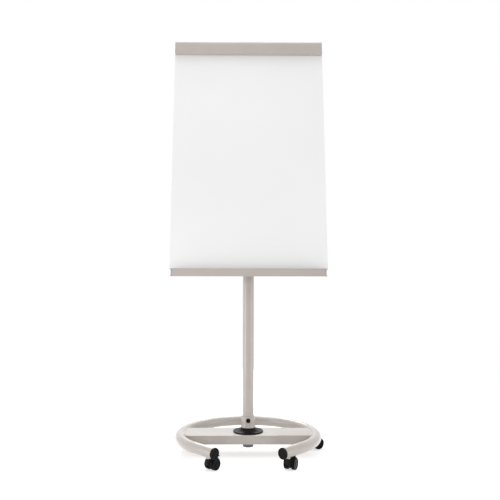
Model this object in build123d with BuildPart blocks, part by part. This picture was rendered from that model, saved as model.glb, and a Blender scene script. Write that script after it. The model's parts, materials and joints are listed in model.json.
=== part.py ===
from build123d import *
import os
from math import cos, radians, sin, sqrt, tan

# A mobile flipchart easel. Millimetres. The origin is on the floor under the column's axis,
# +Z is up, the writing face looks towards -Y and +X is on the right of a person facing it.

os.makedirs("parts", exist_ok=True)

# ---- Fits ----------------------------------------------------------------------------------
running_fit = 0.05        # radial, between a shaft and the hole that turns or slides on it
press_gap = 0.02          # radial, between pieces pushed or screwed into each other
seat_gap = 0.1            # between faces that are bolted or laid on each other
weld_gap = 0.2            # root of a weld
sliding_gap = 0.3         # between pieces that slide past each other

# ---- Round base ----------------------------------------------------------------------------
ring_radius = 307         # of the tube's centre line
ring_tube_d = 48
ring_wall = 2
ring_bend_end = 48        # from the front to where the tube starts to run straight, in degrees
ring_straight = 128       # length of its straight ends

end_cap_proud = 0.8       # of the cap's edge outside the tube
end_cap_thickness = 4
end_cap_rim = 4
end_cap_recess = 2.5
end_cap_rib = 3
end_cap_spigot = 16       # in the tube

crossbar_width = 150
crossbar_height = 40
crossbar_sheet = 3
crossbar_bend = 5         # outside radius of its folds
crossbar_below_crown = 5  # of its top plate below the top of the tube
flange_notch = 4          # from the end of a flange to the tube

disc_d = 136
disc_rim = 6
disc_hub_height = 22

socket_d = 60
socket_foot_d = 68
socket_foot = 3
socket_flare = 12
socket_height = 52
socket_floor = 10

stud_d = 16
foot_washer_d = 40
foot_washer_t = 3
hand_nut_hub_d = 28
hand_nut_grip_d = 48
hand_nut_grip = 21
hand_nut_ribs = 16
hand_nut_drop = 27        # of the nut's lower end below the crossbar

socket_screw_d = 8
socket_screw_head_d = 19.5
socket_screw_head = 5.5
socket_screw_rise = 33    # of the screw above the socket's foot
socket_screw_key = 6      # across the flats of its key hole

# ---- Column and mast -----------------------------------------------------------------------
column_d = 50
column_wall = 2
column_top = 880
mast_d = 40
mast_wall = 2
mast_top = 1000
mast_length = 550
glide_flange = 10
glide_spigot = 25
bush_length = 80

collar_wall = 6
collar_height = 48
collar_lip = 10           # of the collar above the end of the column
collar_boss_d = 26
collar_boss_reach = 45    # of the boss's end behind the column's axis

knob_d = 50
knob_height = 20
knob_lobes = 7
knob_neck_d = 22
knob_neck = 4
knob_stud_d = 8

# ---- Tilting head --------------------------------------------------------------------------
pivot_z = 1030
pivot_bolt_d = 10
pivot_head_af = 16
pivot_head = 6
head_lug_width = 24
head_lug_d = 34
head_flange_d = 44
head_flange = 4
head_spigot = 40
friction_washer_t = 1.5
friction_washer_d = 30
bracket_ear = 5
bracket_ear_foot = 50     # of each ear along the plate
bracket_ear_d = 32
bracket_plate_t = 4
bracket_plate_width = 130
bracket_plate_height = 110
bracket_screw_d = 5
bracket_screw_inset = 12

# ---- Board ---------------------------------------------------------------------------------
lean = 14.8               # of the board behind the vertical, in degrees
face_y = -104             # the writing face at the top edge of the tray
face_z = 840
board_width = 700
board_top = 1095          # along the face, from the top edge of the tray
board_bottom = -5
board_thickness = 15
face_sheet = 0.8
back_sheet = 0.8
board_corner = 2
rail_offset = 170
rail_width = 30
rail_depth = 14
rail_sheet = 1.5
rail_bottom = 90
rail_top_gap = 108        # of the upper end of the rails below the board's

# ---- Pen tray ------------------------------------------------------------------------------
tray_inset = 17           # of each end of the tray inside the board's edge
tray_wall = 2
tray_reach = 40.2         # of its front wall from the face
tray_front_top = -8.2
tray_bottom = -43.5
tray_back_top = 22        # of its rear wall, behind the board
tray_lip = 3              # of the shelf's front edge above the foot of the board
tray_bead = 2.5
tray_bead_proud = 2
tray_cap = 6
tray_cap_top_lip = 5
tray_cap_bottom_lip = 3
tray_cap_inset = 1.5
screw_d = 4
screw_head_d = 8
screw_head = 2.2
screw_length = 12
tray_screw_inset = 33     # of the outer screws from the ends of the tray
tray_screw_s = 10

# ---- Paper clamp ---------------------------------------------------------------------------
clamp_inset = 5.5         # of each end of the bar inside the board's edge
clamp_cap = 2.5
clamp_wall = 2
clamp_rise = 10.5           # of its crown above the top of the board
clamp_height = 64
clamp_depth = 26
clamp_round = 18
clamp_foot_round = 3
barrel_d = 8.6
barrel_inset = 34.5       # of each end of the barrel inside the bar's
hinge_pin_d = 5
hinge_pin_length = 36
hinge_lug = 14
grip_width = 7
grip_t = 2.5
track_height = 34
track_depth = 6
track_lip = 1.6
track_slot = 8.6
track_groove = 15
track_groove_depth = 2.8
track_inset = 12.5        # of each end of the track inside the bar's
track_screw_inset = 92
peg_inset = 92            # of each peg from the end of the track
peg_d = 8
peg_reach = 11
peg_foot_length = 26
peg_collar_d = 13
peg_collar = 1.5
peg_chamfer = 1.5

# ---- Casters -------------------------------------------------------------------------------
caster_height = 55        # from the floor to the ring
wheel_drop = 5            # of the top of the wheels below the ring
wheel_width = 16
wheel_gap = 18            # between the inner faces of a pair
caster_trail = 24
caster_hood = 2.8
caster_hood_width = 40
caster_housing_d = 22
wheel_clearance = 0.7
web_clearance = 0.4
axle_d = 8
wheel_cap = 2.3           # of the wheel outside the end of the axle
stem_d = 10
stem_shoulder_d = 15
stem_depth = 20           # in the caster
stem_reach = 38           # in the sleeve
sleeve_d = 16
sleeve_drop = 1           # of the sleeve below the tube
lever_width = 22
lever_length = 17
lever_t = 3
lever_pin_d = 3
lever_ear = 3
lever_place = 17.5        # of its pin behind the axle

caster_inset = 38         # of the front casters from the ends of the tube
braked = (1, 2)

# ---- Worked-out places ---------------------------------------------------------------------
ring_tube_r = ring_tube_d / 2
ring_height = caster_height + ring_tube_r
wheel_d = caster_height - wheel_drop
caster_top = wheel_d
lever_pin_place = caster_trail + lever_place
crossbar_top = ring_height + ring_tube_r - crossbar_below_crown
crossbar_bottom = crossbar_top - crossbar_height
disc_top = crossbar_top + disc_hub_height
socket_top = disc_top + socket_height
socket_screw_z = disc_top + socket_screw_rise
column_r = column_d / 2
column_bore = column_r - column_wall
column_bottom = disc_top + socket_floor
mast_r = mast_d / 2
mast_bore = mast_r - mast_wall
mast_bottom = mast_top - mast_length
collar_top = column_top + collar_lip
collar_z = collar_top - collar_height / 2
collar_r = column_r + collar_wall
nut_top = crossbar_top - crossbar_sheet - foot_washer_t
nut_bottom = crossbar_bottom - hand_nut_drop

board_out = (0, -cos(radians(lean)), sin(radians(lean)))
face_plane = Plane(origin=(0, face_y, face_z), x_dir=(1, 0, 0), z_dir=board_out)
section_plane = Plane(origin=(0, face_y, face_z), x_dir=board_out, z_dir=(-1, 0, 0))
pivot = section_plane.to_local_coords(Vector(0, 0, pivot_z))
board_back_n = -board_thickness
board_middle = (board_top + board_bottom) / 2
rail_length = board_top - rail_bottom - rail_top_gap
tray_length = board_width - 2 * tray_inset
lean_slope = tan(radians(lean))
tray_rear = board_back_n - seat_gap
tray_shelf = board_bottom - seat_gap
tray_screw_pitch = (tray_length - 2 * tray_screw_inset) / 4
clamp_length = board_width - 2 * clamp_inset
clamp_top = board_top + clamp_rise
clamp_bottom = clamp_top - clamp_height
barrel_length = clamp_length - 2 * barrel_inset
track_length = clamp_length - 2 * track_inset
track_screw_pitch = (track_length - 2 * track_screw_inset) / 3
peg_spread = track_length / 2 - peg_inset
board_height = board_top - board_bottom
barrel_r = barrel_d / 2
barrel_s = clamp_top - barrel_r
barrel_n = -board_thickness + barrel_r
track_s = board_top - track_height / 2
wheel_r = wheel_d / 2
washer_x = head_lug_width / 2 + seat_gap
ear_x = washer_x + friction_washer_t + seat_gap
sleeve_bottom = ring_height - ring_tube_r - sleeve_drop
lever_rise = sleeve_bottom + sleeve_drop - lever_t - 0.8


def radial_plane(azimuth):
    """Upright plane through the column's axis: local x points outwards, local y up."""
    a = radians(azimuth)
    return Plane(origin=(0, 0, 0), x_dir=(cos(a), sin(a), 0), z_dir=(sin(a), -cos(a), 0))


def end_plane(x):
    """The board's section, moved along the easel's width: local x is out of the face."""
    return section_plane.offset(-x)


def ring_spot(angle):
    """A point of the ring's centre line, by its angle from the front."""
    return (ring_radius * sin(radians(angle)), -ring_radius * cos(radians(angle)))


def save(piece, name):
    piece.part.label = name
    export_step(piece.part, f"parts/{name}.step")


bend_a = radians(ring_bend_end)


def end_spot(side, back):
    """A point of the centre line on a straight end of the tube, this far back from the end."""
    ahead = ring_straight - back
    return (
        side * (ring_radius * sin(bend_a) - ahead * cos(bend_a)),
        -ring_radius * cos(bend_a) - ahead * sin(bend_a),
    )


def end_face(side):
    """Plane of one square end of the tube, facing out of the tube."""
    return Plane(
        origin=(*end_spot(side, 0), ring_height),
        x_dir=(sin(bend_a), -side * cos(bend_a), 0),
        z_dir=(-side * cos(bend_a), -sin(bend_a), 0),
    )


# Each caster's place under the tube, and the way it trails.
casters = {
    1: (end_spot(-1, caster_inset), 48),
    2: (end_spot(1, caster_inset), 65),
    3: (ring_spot(104), 20),
    4: (ring_spot(180), 80),
    5: (ring_spot(-108), 5),
}
caster_spots = {number: spot for number, (spot, heading) in casters.items()}

# ---- Ring tube, open at the front, with straight ends --------------------------------------
end_cap_r = ring_tube_r + end_cap_proud

with BuildPart() as base_ring:
    with BuildSketch(radial_plane(ring_bend_end - 90)):
        with Locations((ring_radius, ring_height)):
            Circle(ring_tube_r)
            Circle(ring_tube_r - ring_wall, mode=Mode.SUBTRACT)
    revolve(axis=Axis.Z, revolution_arc=360 - 2 * ring_bend_end)
    for side in (-1, 1):
        with BuildSketch(end_face(side)):
            Circle(ring_tube_r)
            Circle(ring_tube_r - ring_wall, mode=Mode.SUBTRACT)
        extrude(amount=-ring_straight)
    with BuildSketch(Plane.XY.offset(sleeve_bottom)):
        with Locations(*caster_spots.values()):
            Circle(sleeve_d / 2 + press_gap)
    extrude(amount=ring_tube_r, mode=Mode.SUBTRACT)
save(base_ring, "base_ring")


# ---- Caps in the ends of the ring ----------------------------------------------------------
def end_cap(side):
    """Domed edge over the tube's end, a cross of ribs inside it, and a spigot in the tube."""
    with BuildPart() as cap:
        with BuildSketch(end_face(side).offset(seat_gap)):
            Circle(end_cap_r)
        extrude(amount=end_cap_thickness)
        outward = Axis(end_face(side).origin, end_face(side).z_dir)
        chamfer(cap.edges().sort_by(outward)[-1], 1.2)
        with BuildSketch(end_face(side).offset(seat_gap)):
            Circle(ring_tube_r - ring_wall - press_gap)
        extrude(amount=-end_cap_spigot)
        with BuildSketch(end_face(side).offset(seat_gap + end_cap_thickness)):
            Circle(end_cap_r - end_cap_rim)
            with PolarLocations(0, 2, start_angle=45):
                Rectangle(3 * end_cap_r, end_cap_rib, mode=Mode.SUBTRACT)
            Circle(end_cap_rib * 1.5, mode=Mode.SUBTRACT)
        extrude(amount=-end_cap_recess, mode=Mode.SUBTRACT)
    return cap.part


with BuildPart() as ring_end_caps:
    for side in (-1, 1):
        add(end_cap(side))
save(ring_end_caps, "ring_end_caps")

# ---- Crossbar: an inverted channel, coped to the ring --------------------------------------
flange_end = sqrt((ring_radius - ring_tube_r) ** 2 - (crossbar_width / 2) ** 2) - flange_notch
plate_end = ring_radius - 3 * crossbar_sheet

with BuildPart() as crossbar:
    with BuildSketch(Plane.YZ) as channel:
        with Locations((0, crossbar_top)):
            Rectangle(crossbar_width, crossbar_height, align=(Align.CENTER, Align.MAX))
        fillet(channel.vertices().group_by(Axis.Y)[-1], crossbar_bend)
        with BuildSketch(mode=Mode.SUBTRACT) as hollow:
            with Locations((0, crossbar_top - crossbar_sheet)):
                Rectangle(
                    crossbar_width - 2 * crossbar_sheet,
                    crossbar_height,
                    align=(Align.CENTER, Align.MAX),
                )
            fillet(hollow.vertices().group_by(Axis.Y)[-1], crossbar_bend - crossbar_sheet)
    extrude(amount=ring_radius, both=True)
    with BuildSketch(Plane.XY.offset(crossbar_bottom)):
        Circle(plate_end)
    extrude(amount=crossbar_height, mode=Mode.INTERSECT)
    with BuildSketch(Plane.XZ):
        for side in (-1, 1):
            with Locations((side * (flange_end + ring_radius) / 2, crossbar_bottom)):
                Rectangle(
                    ring_radius - flange_end,
                    crossbar_height - crossbar_bend,
                    align=(Align.CENTER, Align.MIN),
                )
    extrude(amount=crossbar_width, both=True, mode=Mode.SUBTRACT)
    with BuildSketch(radial_plane(0)):
        with Locations((ring_radius, ring_height)):
            Circle(ring_tube_r + weld_gap)
    revolve(axis=Axis.Z, mode=Mode.SUBTRACT)
    with BuildSketch(Plane.XY.offset(crossbar_top)):
        Circle(stud_d / 2 + sliding_gap)
    extrude(amount=-crossbar_sheet, mode=Mode.SUBTRACT)
save(crossbar, "crossbar")

# ---- Dished disc under the column ----------------------------------------------------------
hub_r = socket_d / 2 + 2
dish_r = disc_d / 2 - 10
rim_round = disc_rim / 3

with BuildPart() as base_disc:
    with BuildSketch(Plane.XZ):
        with BuildLine():
            l1 = Polyline(
                (stud_d / 2 + sliding_gap, crossbar_top),
                (disc_d / 2, crossbar_top),
                (disc_d / 2, crossbar_top + disc_rim - rim_round),
            )
            l2 = RadiusArc(l1 @ 1, (disc_d / 2 - rim_round, crossbar_top + disc_rim), -rim_round)
            l3 = Line(l2 @ 1, (dish_r + 4, crossbar_top + disc_rim))
            l4 = Line(l3 @ 1, (dish_r, crossbar_top + disc_rim - 1.5))
            l5 = TangentArc(l4 @ 1, (hub_r, disc_top - 2), tangent=(-1, 0))
            Polyline(l5 @ 1, (hub_r, disc_top), (stud_d / 2 + sliding_gap, disc_top), l1 @ 0)
        make_face()
    revolve(axis=Axis.Z)
save(base_disc, "base_disc")

# ---- Socket that holds the column ----------------------------------------------------------
socket_r = socket_d / 2
spot_r = socket_screw_head_d / 2 + 1
spot_face = sqrt(socket_r**2 - spot_r**2)
front_screw_plane = Plane(
    origin=(0, -spot_face, socket_screw_z), x_dir=(1, 0, 0), z_dir=(0, -1, 0)
)

with BuildPart() as column_socket:
    with BuildSketch(Plane.XZ):
        with BuildLine():
            s1 = Polyline(
                (stud_d / 2 + press_gap, disc_top),
                (socket_foot_d / 2, disc_top),
                (socket_foot_d / 2, disc_top + socket_foot),
            )
            s2 = TangentArc(
                (socket_r, disc_top + socket_foot + socket_flare), s1 @ 1, tangent=(0, -1)
            )
            Polyline(
                s2 @ 0,
                (socket_r, socket_top - 4),
                (socket_r - 4, socket_top),
                (column_r + press_gap, socket_top),
                (column_r + press_gap, column_bottom),
                (stud_d / 2 + press_gap, column_bottom),
                s1 @ 0,
            )
        make_face()
    revolve(axis=Axis.Z)
    with BuildSketch(front_screw_plane):
        Circle(spot_r)
    extrude(amount=socket_r, mode=Mode.SUBTRACT)
    with BuildSketch(front_screw_plane):
        Circle(socket_screw_d / 2 + press_gap)
    extrude(amount=-spot_face, mode=Mode.SUBTRACT)
save(column_socket, "column_socket")

with BuildPart() as socket_screw:
    with BuildSketch(front_screw_plane.offset(seat_gap)):
        Circle(socket_screw_head_d / 2)
    extrude(amount=socket_screw_head)
    fillet(socket_screw.edges().group_by(Axis.Y)[0], socket_screw_head * 0.55)
    with BuildSketch(front_screw_plane.offset(seat_gap + socket_screw_head)):
        RegularPolygon(socket_screw_key / 2, 6, major_radius=False)
    extrude(amount=-socket_screw_head / 2, mode=Mode.SUBTRACT)
    with BuildSketch(front_screw_plane.offset(seat_gap)):
        Circle(socket_screw_d / 2)
    extrude(amount=column_bore - spot_face - 3)
save(socket_screw, "socket_screw")

# ---- Stud, washer and hand nut that bolt the column to the crossbar ------------------------
with BuildPart() as column_stud:
    with BuildSketch(Plane.XY.offset(nut_bottom + 7)):
        Circle(stud_d / 2)
    extrude(amount=column_bottom + 6 - nut_bottom - 7)
    chamfer(column_stud.edges().filter_by(GeomType.CIRCLE), 1.5)
save(column_stud, "column_stud")

with BuildPart() as foot_washer:
    with BuildSketch(Plane.XY.offset(nut_top)):
        Circle(foot_washer_d / 2)
        Circle(stud_d / 2 + sliding_gap, mode=Mode.SUBTRACT)
    extrude(amount=foot_washer_t)
save(foot_washer, "foot_washer")

rib_r = 1.6
with BuildPart() as foot_hand_nut:
    with BuildSketch(Plane.XY.offset(nut_bottom)):
        Circle(hand_nut_grip_d / 2 - rib_r)
        with PolarLocations(hand_nut_grip_d / 2 - rib_r, hand_nut_ribs):
            Circle(rib_r)
    extrude(amount=hand_nut_grip)
    with BuildSketch(Plane.XY.offset(nut_bottom + hand_nut_grip)):
        Circle(hand_nut_hub_d / 2)
    extrude(amount=nut_top - nut_bottom - hand_nut_grip)
    with BuildSketch(Plane.XY.offset(nut_top)):
        Circle(stud_d / 2 + press_gap)
    extrude(amount=nut_bottom + 5 - nut_top, mode=Mode.SUBTRACT)
save(foot_hand_nut, "foot_hand_nut")

# ---- Column tube, its bush and the clamping collar -----------------------------------------
clamp_stud_plane = Plane(origin=(0, 0, collar_z), x_dir=(1, 0, 0), z_dir=(0, 1, 0))

with BuildPart() as column_tube:
    with BuildSketch(Plane.XY.offset(column_bottom)):
        Circle(column_r)
        Circle(column_bore, mode=Mode.SUBTRACT)
    extrude(amount=column_top - column_bottom)
    with BuildSketch(front_screw_plane):
        Circle(socket_screw_d / 2 + press_gap)
    extrude(amount=-spot_face, mode=Mode.SUBTRACT)
    with BuildSketch(clamp_stud_plane):
        Circle(knob_stud_d / 2 + sliding_gap)
    extrude(amount=column_d, mode=Mode.SUBTRACT)
save(column_tube, "column_tube")

with BuildPart() as column_bush:
    with BuildSketch(Plane.XY.offset(column_top - bush_length)):
        Circle(column_bore - press_gap)
        Circle(mast_r + running_fit, mode=Mode.SUBTRACT)
    extrude(amount=bush_length)
    with BuildSketch(clamp_stud_plane):
        Circle(knob_stud_d / 2 + sliding_gap)
    extrude(amount=column_d, mode=Mode.SUBTRACT)
save(column_bush, "column_bush")

with BuildPart() as height_collar:
    with BuildSketch(Plane.XY.offset(collar_top - collar_height)):
        Circle(collar_r)
    extrude(amount=collar_height)
    chamfer(height_collar.edges().group_by(Axis.Z)[-1], 2)
    with BuildSketch(clamp_stud_plane):
        Circle(collar_boss_d / 2)
    extrude(amount=collar_boss_reach)
    with BuildSketch(Plane.XY.offset(column_top + seat_gap)):
        Circle(column_r + press_gap)
    extrude(amount=-collar_height, mode=Mode.SUBTRACT)
    with BuildSketch(Plane.XY.offset(column_top)):
        Circle(mast_r + sliding_gap)
    extrude(amount=collar_height, mode=Mode.SUBTRACT)
    with BuildSketch(clamp_stud_plane):
        Circle(knob_stud_d / 2 + running_fit)
    extrude(amount=collar_boss_reach, mode=Mode.SUBTRACT)
save(height_collar, "height_collar")


def star_knob(plane):
    """The lobed grip of a clamping knob, with its neck on the plane."""
    with BuildPart() as grip:
        with BuildSketch(plane):
            Circle(knob_neck_d / 2)
        extrude(amount=knob_neck)
        with BuildSketch(plane.offset(knob_neck)):
            Circle(knob_d / 2)
            with PolarLocations(knob_d / 2 + 3, knob_lobes):
                Circle(6.5, mode=Mode.SUBTRACT)
        extrude(amount=knob_height - knob_neck)
        outer_edges = grip.edges().sort_by(Axis(plane.origin, plane.z_dir))
        chamfer(outer_edges[-2 * knob_lobes :], 2)
    return grip.part


knob_plane = clamp_stud_plane.offset(collar_boss_reach + sliding_gap)
with BuildPart() as height_knob:
    add(star_knob(knob_plane))
    with BuildSketch(knob_plane):
        Circle(knob_stud_d / 2)
    extrude(amount=mast_r - collar_boss_reach)
save(height_knob, "height_knob")

# ---- Telescopic mast -----------------------------------------------------------------------
with BuildPart() as mast_tube:
    with BuildSketch(Plane.XY.offset(mast_bottom)):
        Circle(mast_r)
        Circle(mast_bore, mode=Mode.SUBTRACT)
    extrude(amount=mast_length)
save(mast_tube, "mast_tube")

with BuildPart() as mast_glide:
    with BuildSketch(Plane.XY.offset(mast_bottom)):
        Circle(column_bore - running_fit)
    extrude(amount=-glide_flange)
    with BuildSketch(Plane.XY.offset(mast_bottom)):
        Circle(mast_bore - press_gap)
    extrude(amount=glide_spigot)
    with BuildSketch(Plane.XY.offset(mast_bottom - glide_flange)):
        Circle(mast_bore - 3)
    extrude(amount=glide_flange + glide_spigot, mode=Mode.SUBTRACT)
save(mast_glide, "mast_glide")

with BuildPart() as mast_head:
    with BuildSketch(Plane.XY.offset(mast_top)):
        Circle(mast_bore - press_gap)
    extrude(amount=-head_spigot)
    with BuildSketch(Plane.XY.offset(mast_top)):
        Circle(head_flange_d / 2)
    extrude(amount=head_flange)
    with BuildSketch(Plane.YZ):
        with Locations((0, pivot_z)):
            Circle(head_lug_d / 2)
        with Locations((0, mast_top)):
            Rectangle(head_lug_d, pivot_z - mast_top, align=(Align.CENTER, Align.MIN))
    extrude(amount=head_lug_width / 2, both=True)
    with BuildSketch(Plane.YZ):
        with Locations((0, pivot_z)):
            Circle(pivot_bolt_d / 2 + running_fit)
    extrude(amount=head_lug_width, both=True, mode=Mode.SUBTRACT)
save(mast_head, "mast_head")

# ---- Tilt bracket on the back of the board -------------------------------------------------
back_plane = face_plane.offset(board_back_n)
bracket_screw_x = bracket_plate_width / 2 - bracket_screw_inset
bracket_screw_y = bracket_plate_height - 2 * bracket_screw_inset


def bracket_screw_spots():
    """The four screws of the tilt bracket, round the pivot."""
    return [
        (x, pivot.Y + y)
        for x in (-bracket_screw_x, bracket_screw_x)
        for y in (-bracket_screw_y / 2, bracket_screw_y / 2)
    ]


with BuildPart() as tilt_bracket:
    with BuildSketch(back_plane) as plate:
        with Locations((0, pivot.Y)):
            RectangleRounded(bracket_plate_width, bracket_plate_height, 8)
        with Locations(*bracket_screw_spots()):
            Circle(bracket_screw_d / 2 + press_gap, mode=Mode.SUBTRACT)
    extrude(amount=-bracket_plate_t)
    with BuildSketch(end_plane(ear_x)):
        with Locations((pivot.X, pivot.Y)):
            Circle(bracket_ear_d / 2)
        with Locations((board_back_n - bracket_plate_t, pivot.Y)):
            Rectangle(2, bracket_ear_foot, align=(Align.MAX, Align.CENTER))
        make_hull()
        with Locations((pivot.X, pivot.Y)):
            Circle(pivot_bolt_d / 2 + press_gap, mode=Mode.SUBTRACT)
    extrude(amount=-bracket_ear)
    mirror(about=Plane.YZ)
save(tilt_bracket, "tilt_bracket")

with BuildPart() as bracket_screws:
    with BuildSketch(back_plane.offset(-bracket_plate_t)):
        with Locations(*bracket_screw_spots()):
            Circle(bracket_screw_d)
    extrude(amount=-bracket_screw_d / 2)
    with BuildSketch(back_plane.offset(-bracket_plate_t)):
        with Locations(*bracket_screw_spots()):
            Circle(bracket_screw_d / 2)
    extrude(amount=bracket_plate_t + board_thickness / 2)
save(bracket_screws, "bracket_screws")

pivot_plane = Plane(origin=(0, 0, pivot_z), x_dir=(0, 1, 0), z_dir=(1, 0, 0))
ear_outside = ear_x + bracket_ear

with BuildPart() as friction_washers:
    with BuildSketch(pivot_plane.offset(washer_x)):
        Circle(friction_washer_d / 2)
        Circle(pivot_bolt_d / 2 + press_gap, mode=Mode.SUBTRACT)
    extrude(amount=friction_washer_t)
    mirror(about=Plane.YZ)
save(friction_washers, "friction_washers")

bolt_end = ear_outside + knob_height * 0.7
with BuildPart() as pivot_bolt:
    with BuildSketch(pivot_plane.offset(-ear_outside - seat_gap)):
        RegularPolygon(pivot_head_af / 2, 6, major_radius=False)
    extrude(amount=-pivot_head)
    with BuildSketch(pivot_plane.offset(-ear_outside - seat_gap)):
        Circle(pivot_bolt_d / 2)
    extrude(amount=ear_outside + seat_gap + bolt_end)
save(pivot_bolt, "pivot_bolt")

tilt_knob_plane = pivot_plane.offset(ear_outside + sliding_gap)
with BuildPart() as tilt_knob:
    add(star_knob(tilt_knob_plane))
    with BuildSketch(tilt_knob_plane):
        Circle(pivot_bolt_d / 2 + running_fit)
    extrude(amount=bolt_end - ear_outside, mode=Mode.SUBTRACT)
save(tilt_knob, "tilt_knob")

# ---- Board: enamelled pan, core and back sheet ---------------------------------------------
tray_screw_spots = [(tray_screw_pitch * i, tray_screw_s) for i in (-2, -1, 0, 1, 2)]
track_screw_spots = [(track_screw_pitch * i, board_top - 5.5) for i in (-1.5, -0.5, 0.5, 1.5)]

with BuildPart() as board_face:
    with BuildSketch(face_plane) as outline:
        with Locations((0, board_middle)):
            RectangleRounded(board_width, board_height, board_corner)
    extrude(amount=-board_thickness)
    with BuildSketch(face_plane.offset(-face_sheet)):
        with Locations((0, board_middle)):
            Rectangle(board_width - 2 * face_sheet, board_height - 2 * face_sheet)
    extrude(amount=-board_thickness, mode=Mode.SUBTRACT)
    with BuildSketch(face_plane):
        with Locations(*track_screw_spots):
            Circle(screw_d / 2 + press_gap)
    extrude(amount=-board_thickness / 2, mode=Mode.SUBTRACT)
save(board_face, "board_face")

core_width = board_width - 2 * face_sheet - 2 * seat_gap
core_height = board_height - 2 * face_sheet - 2 * seat_gap

with BuildPart() as board_core:
    with BuildSketch(face_plane.offset(-face_sheet)):
        with Locations((0, board_middle)):
            Rectangle(core_width, core_height)
    extrude(amount=back_sheet + face_sheet - board_thickness)
    with BuildSketch(face_plane):
        with Locations(*track_screw_spots):
            Circle(screw_d / 2 + press_gap)
    extrude(amount=-screw_length, mode=Mode.SUBTRACT)
    with BuildSketch(back_plane):
        with Locations(*tray_screw_spots):
            Circle(screw_d / 2 + press_gap)
        with Locations(*bracket_screw_spots()):
            Circle(bracket_screw_d / 2 + press_gap)
    extrude(amount=board_thickness / 2, mode=Mode.SUBTRACT)
save(board_core, "board_core")

with BuildPart() as board_back:
    with BuildSketch(back_plane):
        with Locations((0, board_middle)):
            Rectangle(core_width, core_height)
        with Locations(*bracket_screw_spots()):
            Circle(bracket_screw_d / 2 + press_gap, mode=Mode.SUBTRACT)
        with Locations(*tray_screw_spots):
            Circle(screw_d / 2 + press_gap, mode=Mode.SUBTRACT)
    extrude(amount=back_sheet)
save(board_back, "board_back")

rail_middle = rail_bottom + rail_length / 2
with BuildPart() as stiffener_rails:
    with BuildSketch(back_plane):
        with Locations((rail_offset, rail_middle)):
            Rectangle(rail_width, rail_length)
    extrude(amount=-rail_depth)
    fillet(
        stiffener_rails.edges().filter_by(
            lambda e: e.length > rail_length - 1
            and back_plane.to_local_coords(e.center()).Z < -rail_depth / 2
        ),
        3,
    )
    with BuildSketch(back_plane):
        with Locations((rail_offset, rail_middle)):
            Rectangle(rail_width - 2 * rail_sheet, rail_length - 2 * rail_sheet)
    extrude(amount=rail_sheet - rail_depth, mode=Mode.SUBTRACT)
    mirror(about=Plane.YZ)
save(stiffener_rails, "stiffener_rails")

# ---- Pen tray ------------------------------------------------------------------------------
tray_front = tray_reach - tray_wall


def tray_floor(n):
    """Height of the floor's underside along the board's slope; it is level once the board leans."""
    return tray_bottom + (tray_reach - n) * lean_slope


with BuildPart() as pen_tray:
    with BuildSketch(section_plane):
        with Locations((tray_front, tray_bottom)):
            Rectangle(tray_wall, tray_front_top - tray_bottom, align=Align.MIN)
            Rectangle(tray_wall + tray_bead_proud, tray_bead, align=Align.MIN)
        with Locations((tray_front, tray_front_top)):
            Rectangle(tray_wall + tray_bead_proud, tray_bead, align=(Align.MIN, Align.MAX))
        with BuildLine():
            Polyline(
                (tray_reach, tray_bottom),
                (tray_reach, tray_bottom + tray_wall),
                (tray_rear - tray_wall, tray_floor(tray_rear - tray_wall) + tray_wall),
                (tray_rear - tray_wall, tray_floor(tray_rear - tray_wall)),
                close=True,
            )
        make_face()
        with Locations((tray_rear, tray_floor(tray_rear))):
            Rectangle(
                tray_wall, tray_back_top - tray_floor(tray_rear), align=(Align.MAX, Align.MIN)
            )
        with Locations((tray_rear - tray_wall, tray_shelf)):
            Rectangle(
                tray_wall * 2 + seat_gap - tray_rear, tray_wall, align=(Align.MIN, Align.MAX)
            )
        with Locations((seat_gap, tray_shelf)):
            Rectangle(tray_wall, tray_lip, align=Align.MIN)
    extrude(amount=tray_length / 2, both=True)
    with BuildSketch(face_plane.offset(tray_rear)):
        with Locations(*tray_screw_spots):
            Circle(screw_d / 2 + press_gap)
    extrude(amount=-tray_wall, mode=Mode.SUBTRACT)
save(pen_tray, "pen_tray")

tray_end = tray_length / 2
tray_cap_outside = tray_end + tray_cap
tray_cap_front = tray_reach - tray_cap_inset
plug_foot = tray_wall + seat_gap
with BuildPart() as tray_end_caps:
    with BuildSketch(end_plane(tray_cap_outside)):
        with BuildLine():
            Polyline(
                (tray_cap_front, tray_front_top),
                (tray_cap_front, tray_floor(tray_cap_front)),
                (tray_rear - tray_wall, tray_floor(tray_rear - tray_wall)),
                (tray_rear - tray_wall, tray_front_top),
                close=True,
            )
        make_face()
    extrude(amount=tray_cap - seat_gap)
    with BuildSketch(end_plane(tray_cap_outside + tray_cap_top_lip)):
        with Locations((tray_front, tray_front_top)):
            Rectangle(tray_wall + tray_bead_proud, tray_bead, align=(Align.MIN, Align.MAX))
    extrude(amount=tray_cap + tray_cap_top_lip - seat_gap)
    with BuildSketch(end_plane(tray_cap_outside + tray_cap_bottom_lip)):
        with Locations((tray_front, tray_bottom)):
            Rectangle(tray_wall + tray_bead_proud, tray_bead, align=Align.MIN)
    extrude(amount=tray_cap + tray_cap_bottom_lip - seat_gap)
    with BuildSketch(end_plane(tray_end + seat_gap)):
        with BuildLine():
            Polyline(
                (tray_front - seat_gap, tray_floor(tray_front - seat_gap) + plug_foot),
                (tray_front - seat_gap, tray_floor(tray_front - seat_gap) + plug_foot + 8),
                (tray_rear + seat_gap, tray_floor(tray_rear + seat_gap) + plug_foot + 8),
                (tray_rear + seat_gap, tray_floor(tray_rear + seat_gap) + plug_foot),
                close=True,
            )
        make_face()
    extrude(amount=8)
    mirror(about=Plane.YZ)
save(tray_end_caps, "tray_end_caps")

# ---- Track and hinge rail along the top of the board ---------------------------------------
hinge_lug_x = barrel_length / 2 + sliding_gap
slot_s = track_s - 3

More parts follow.
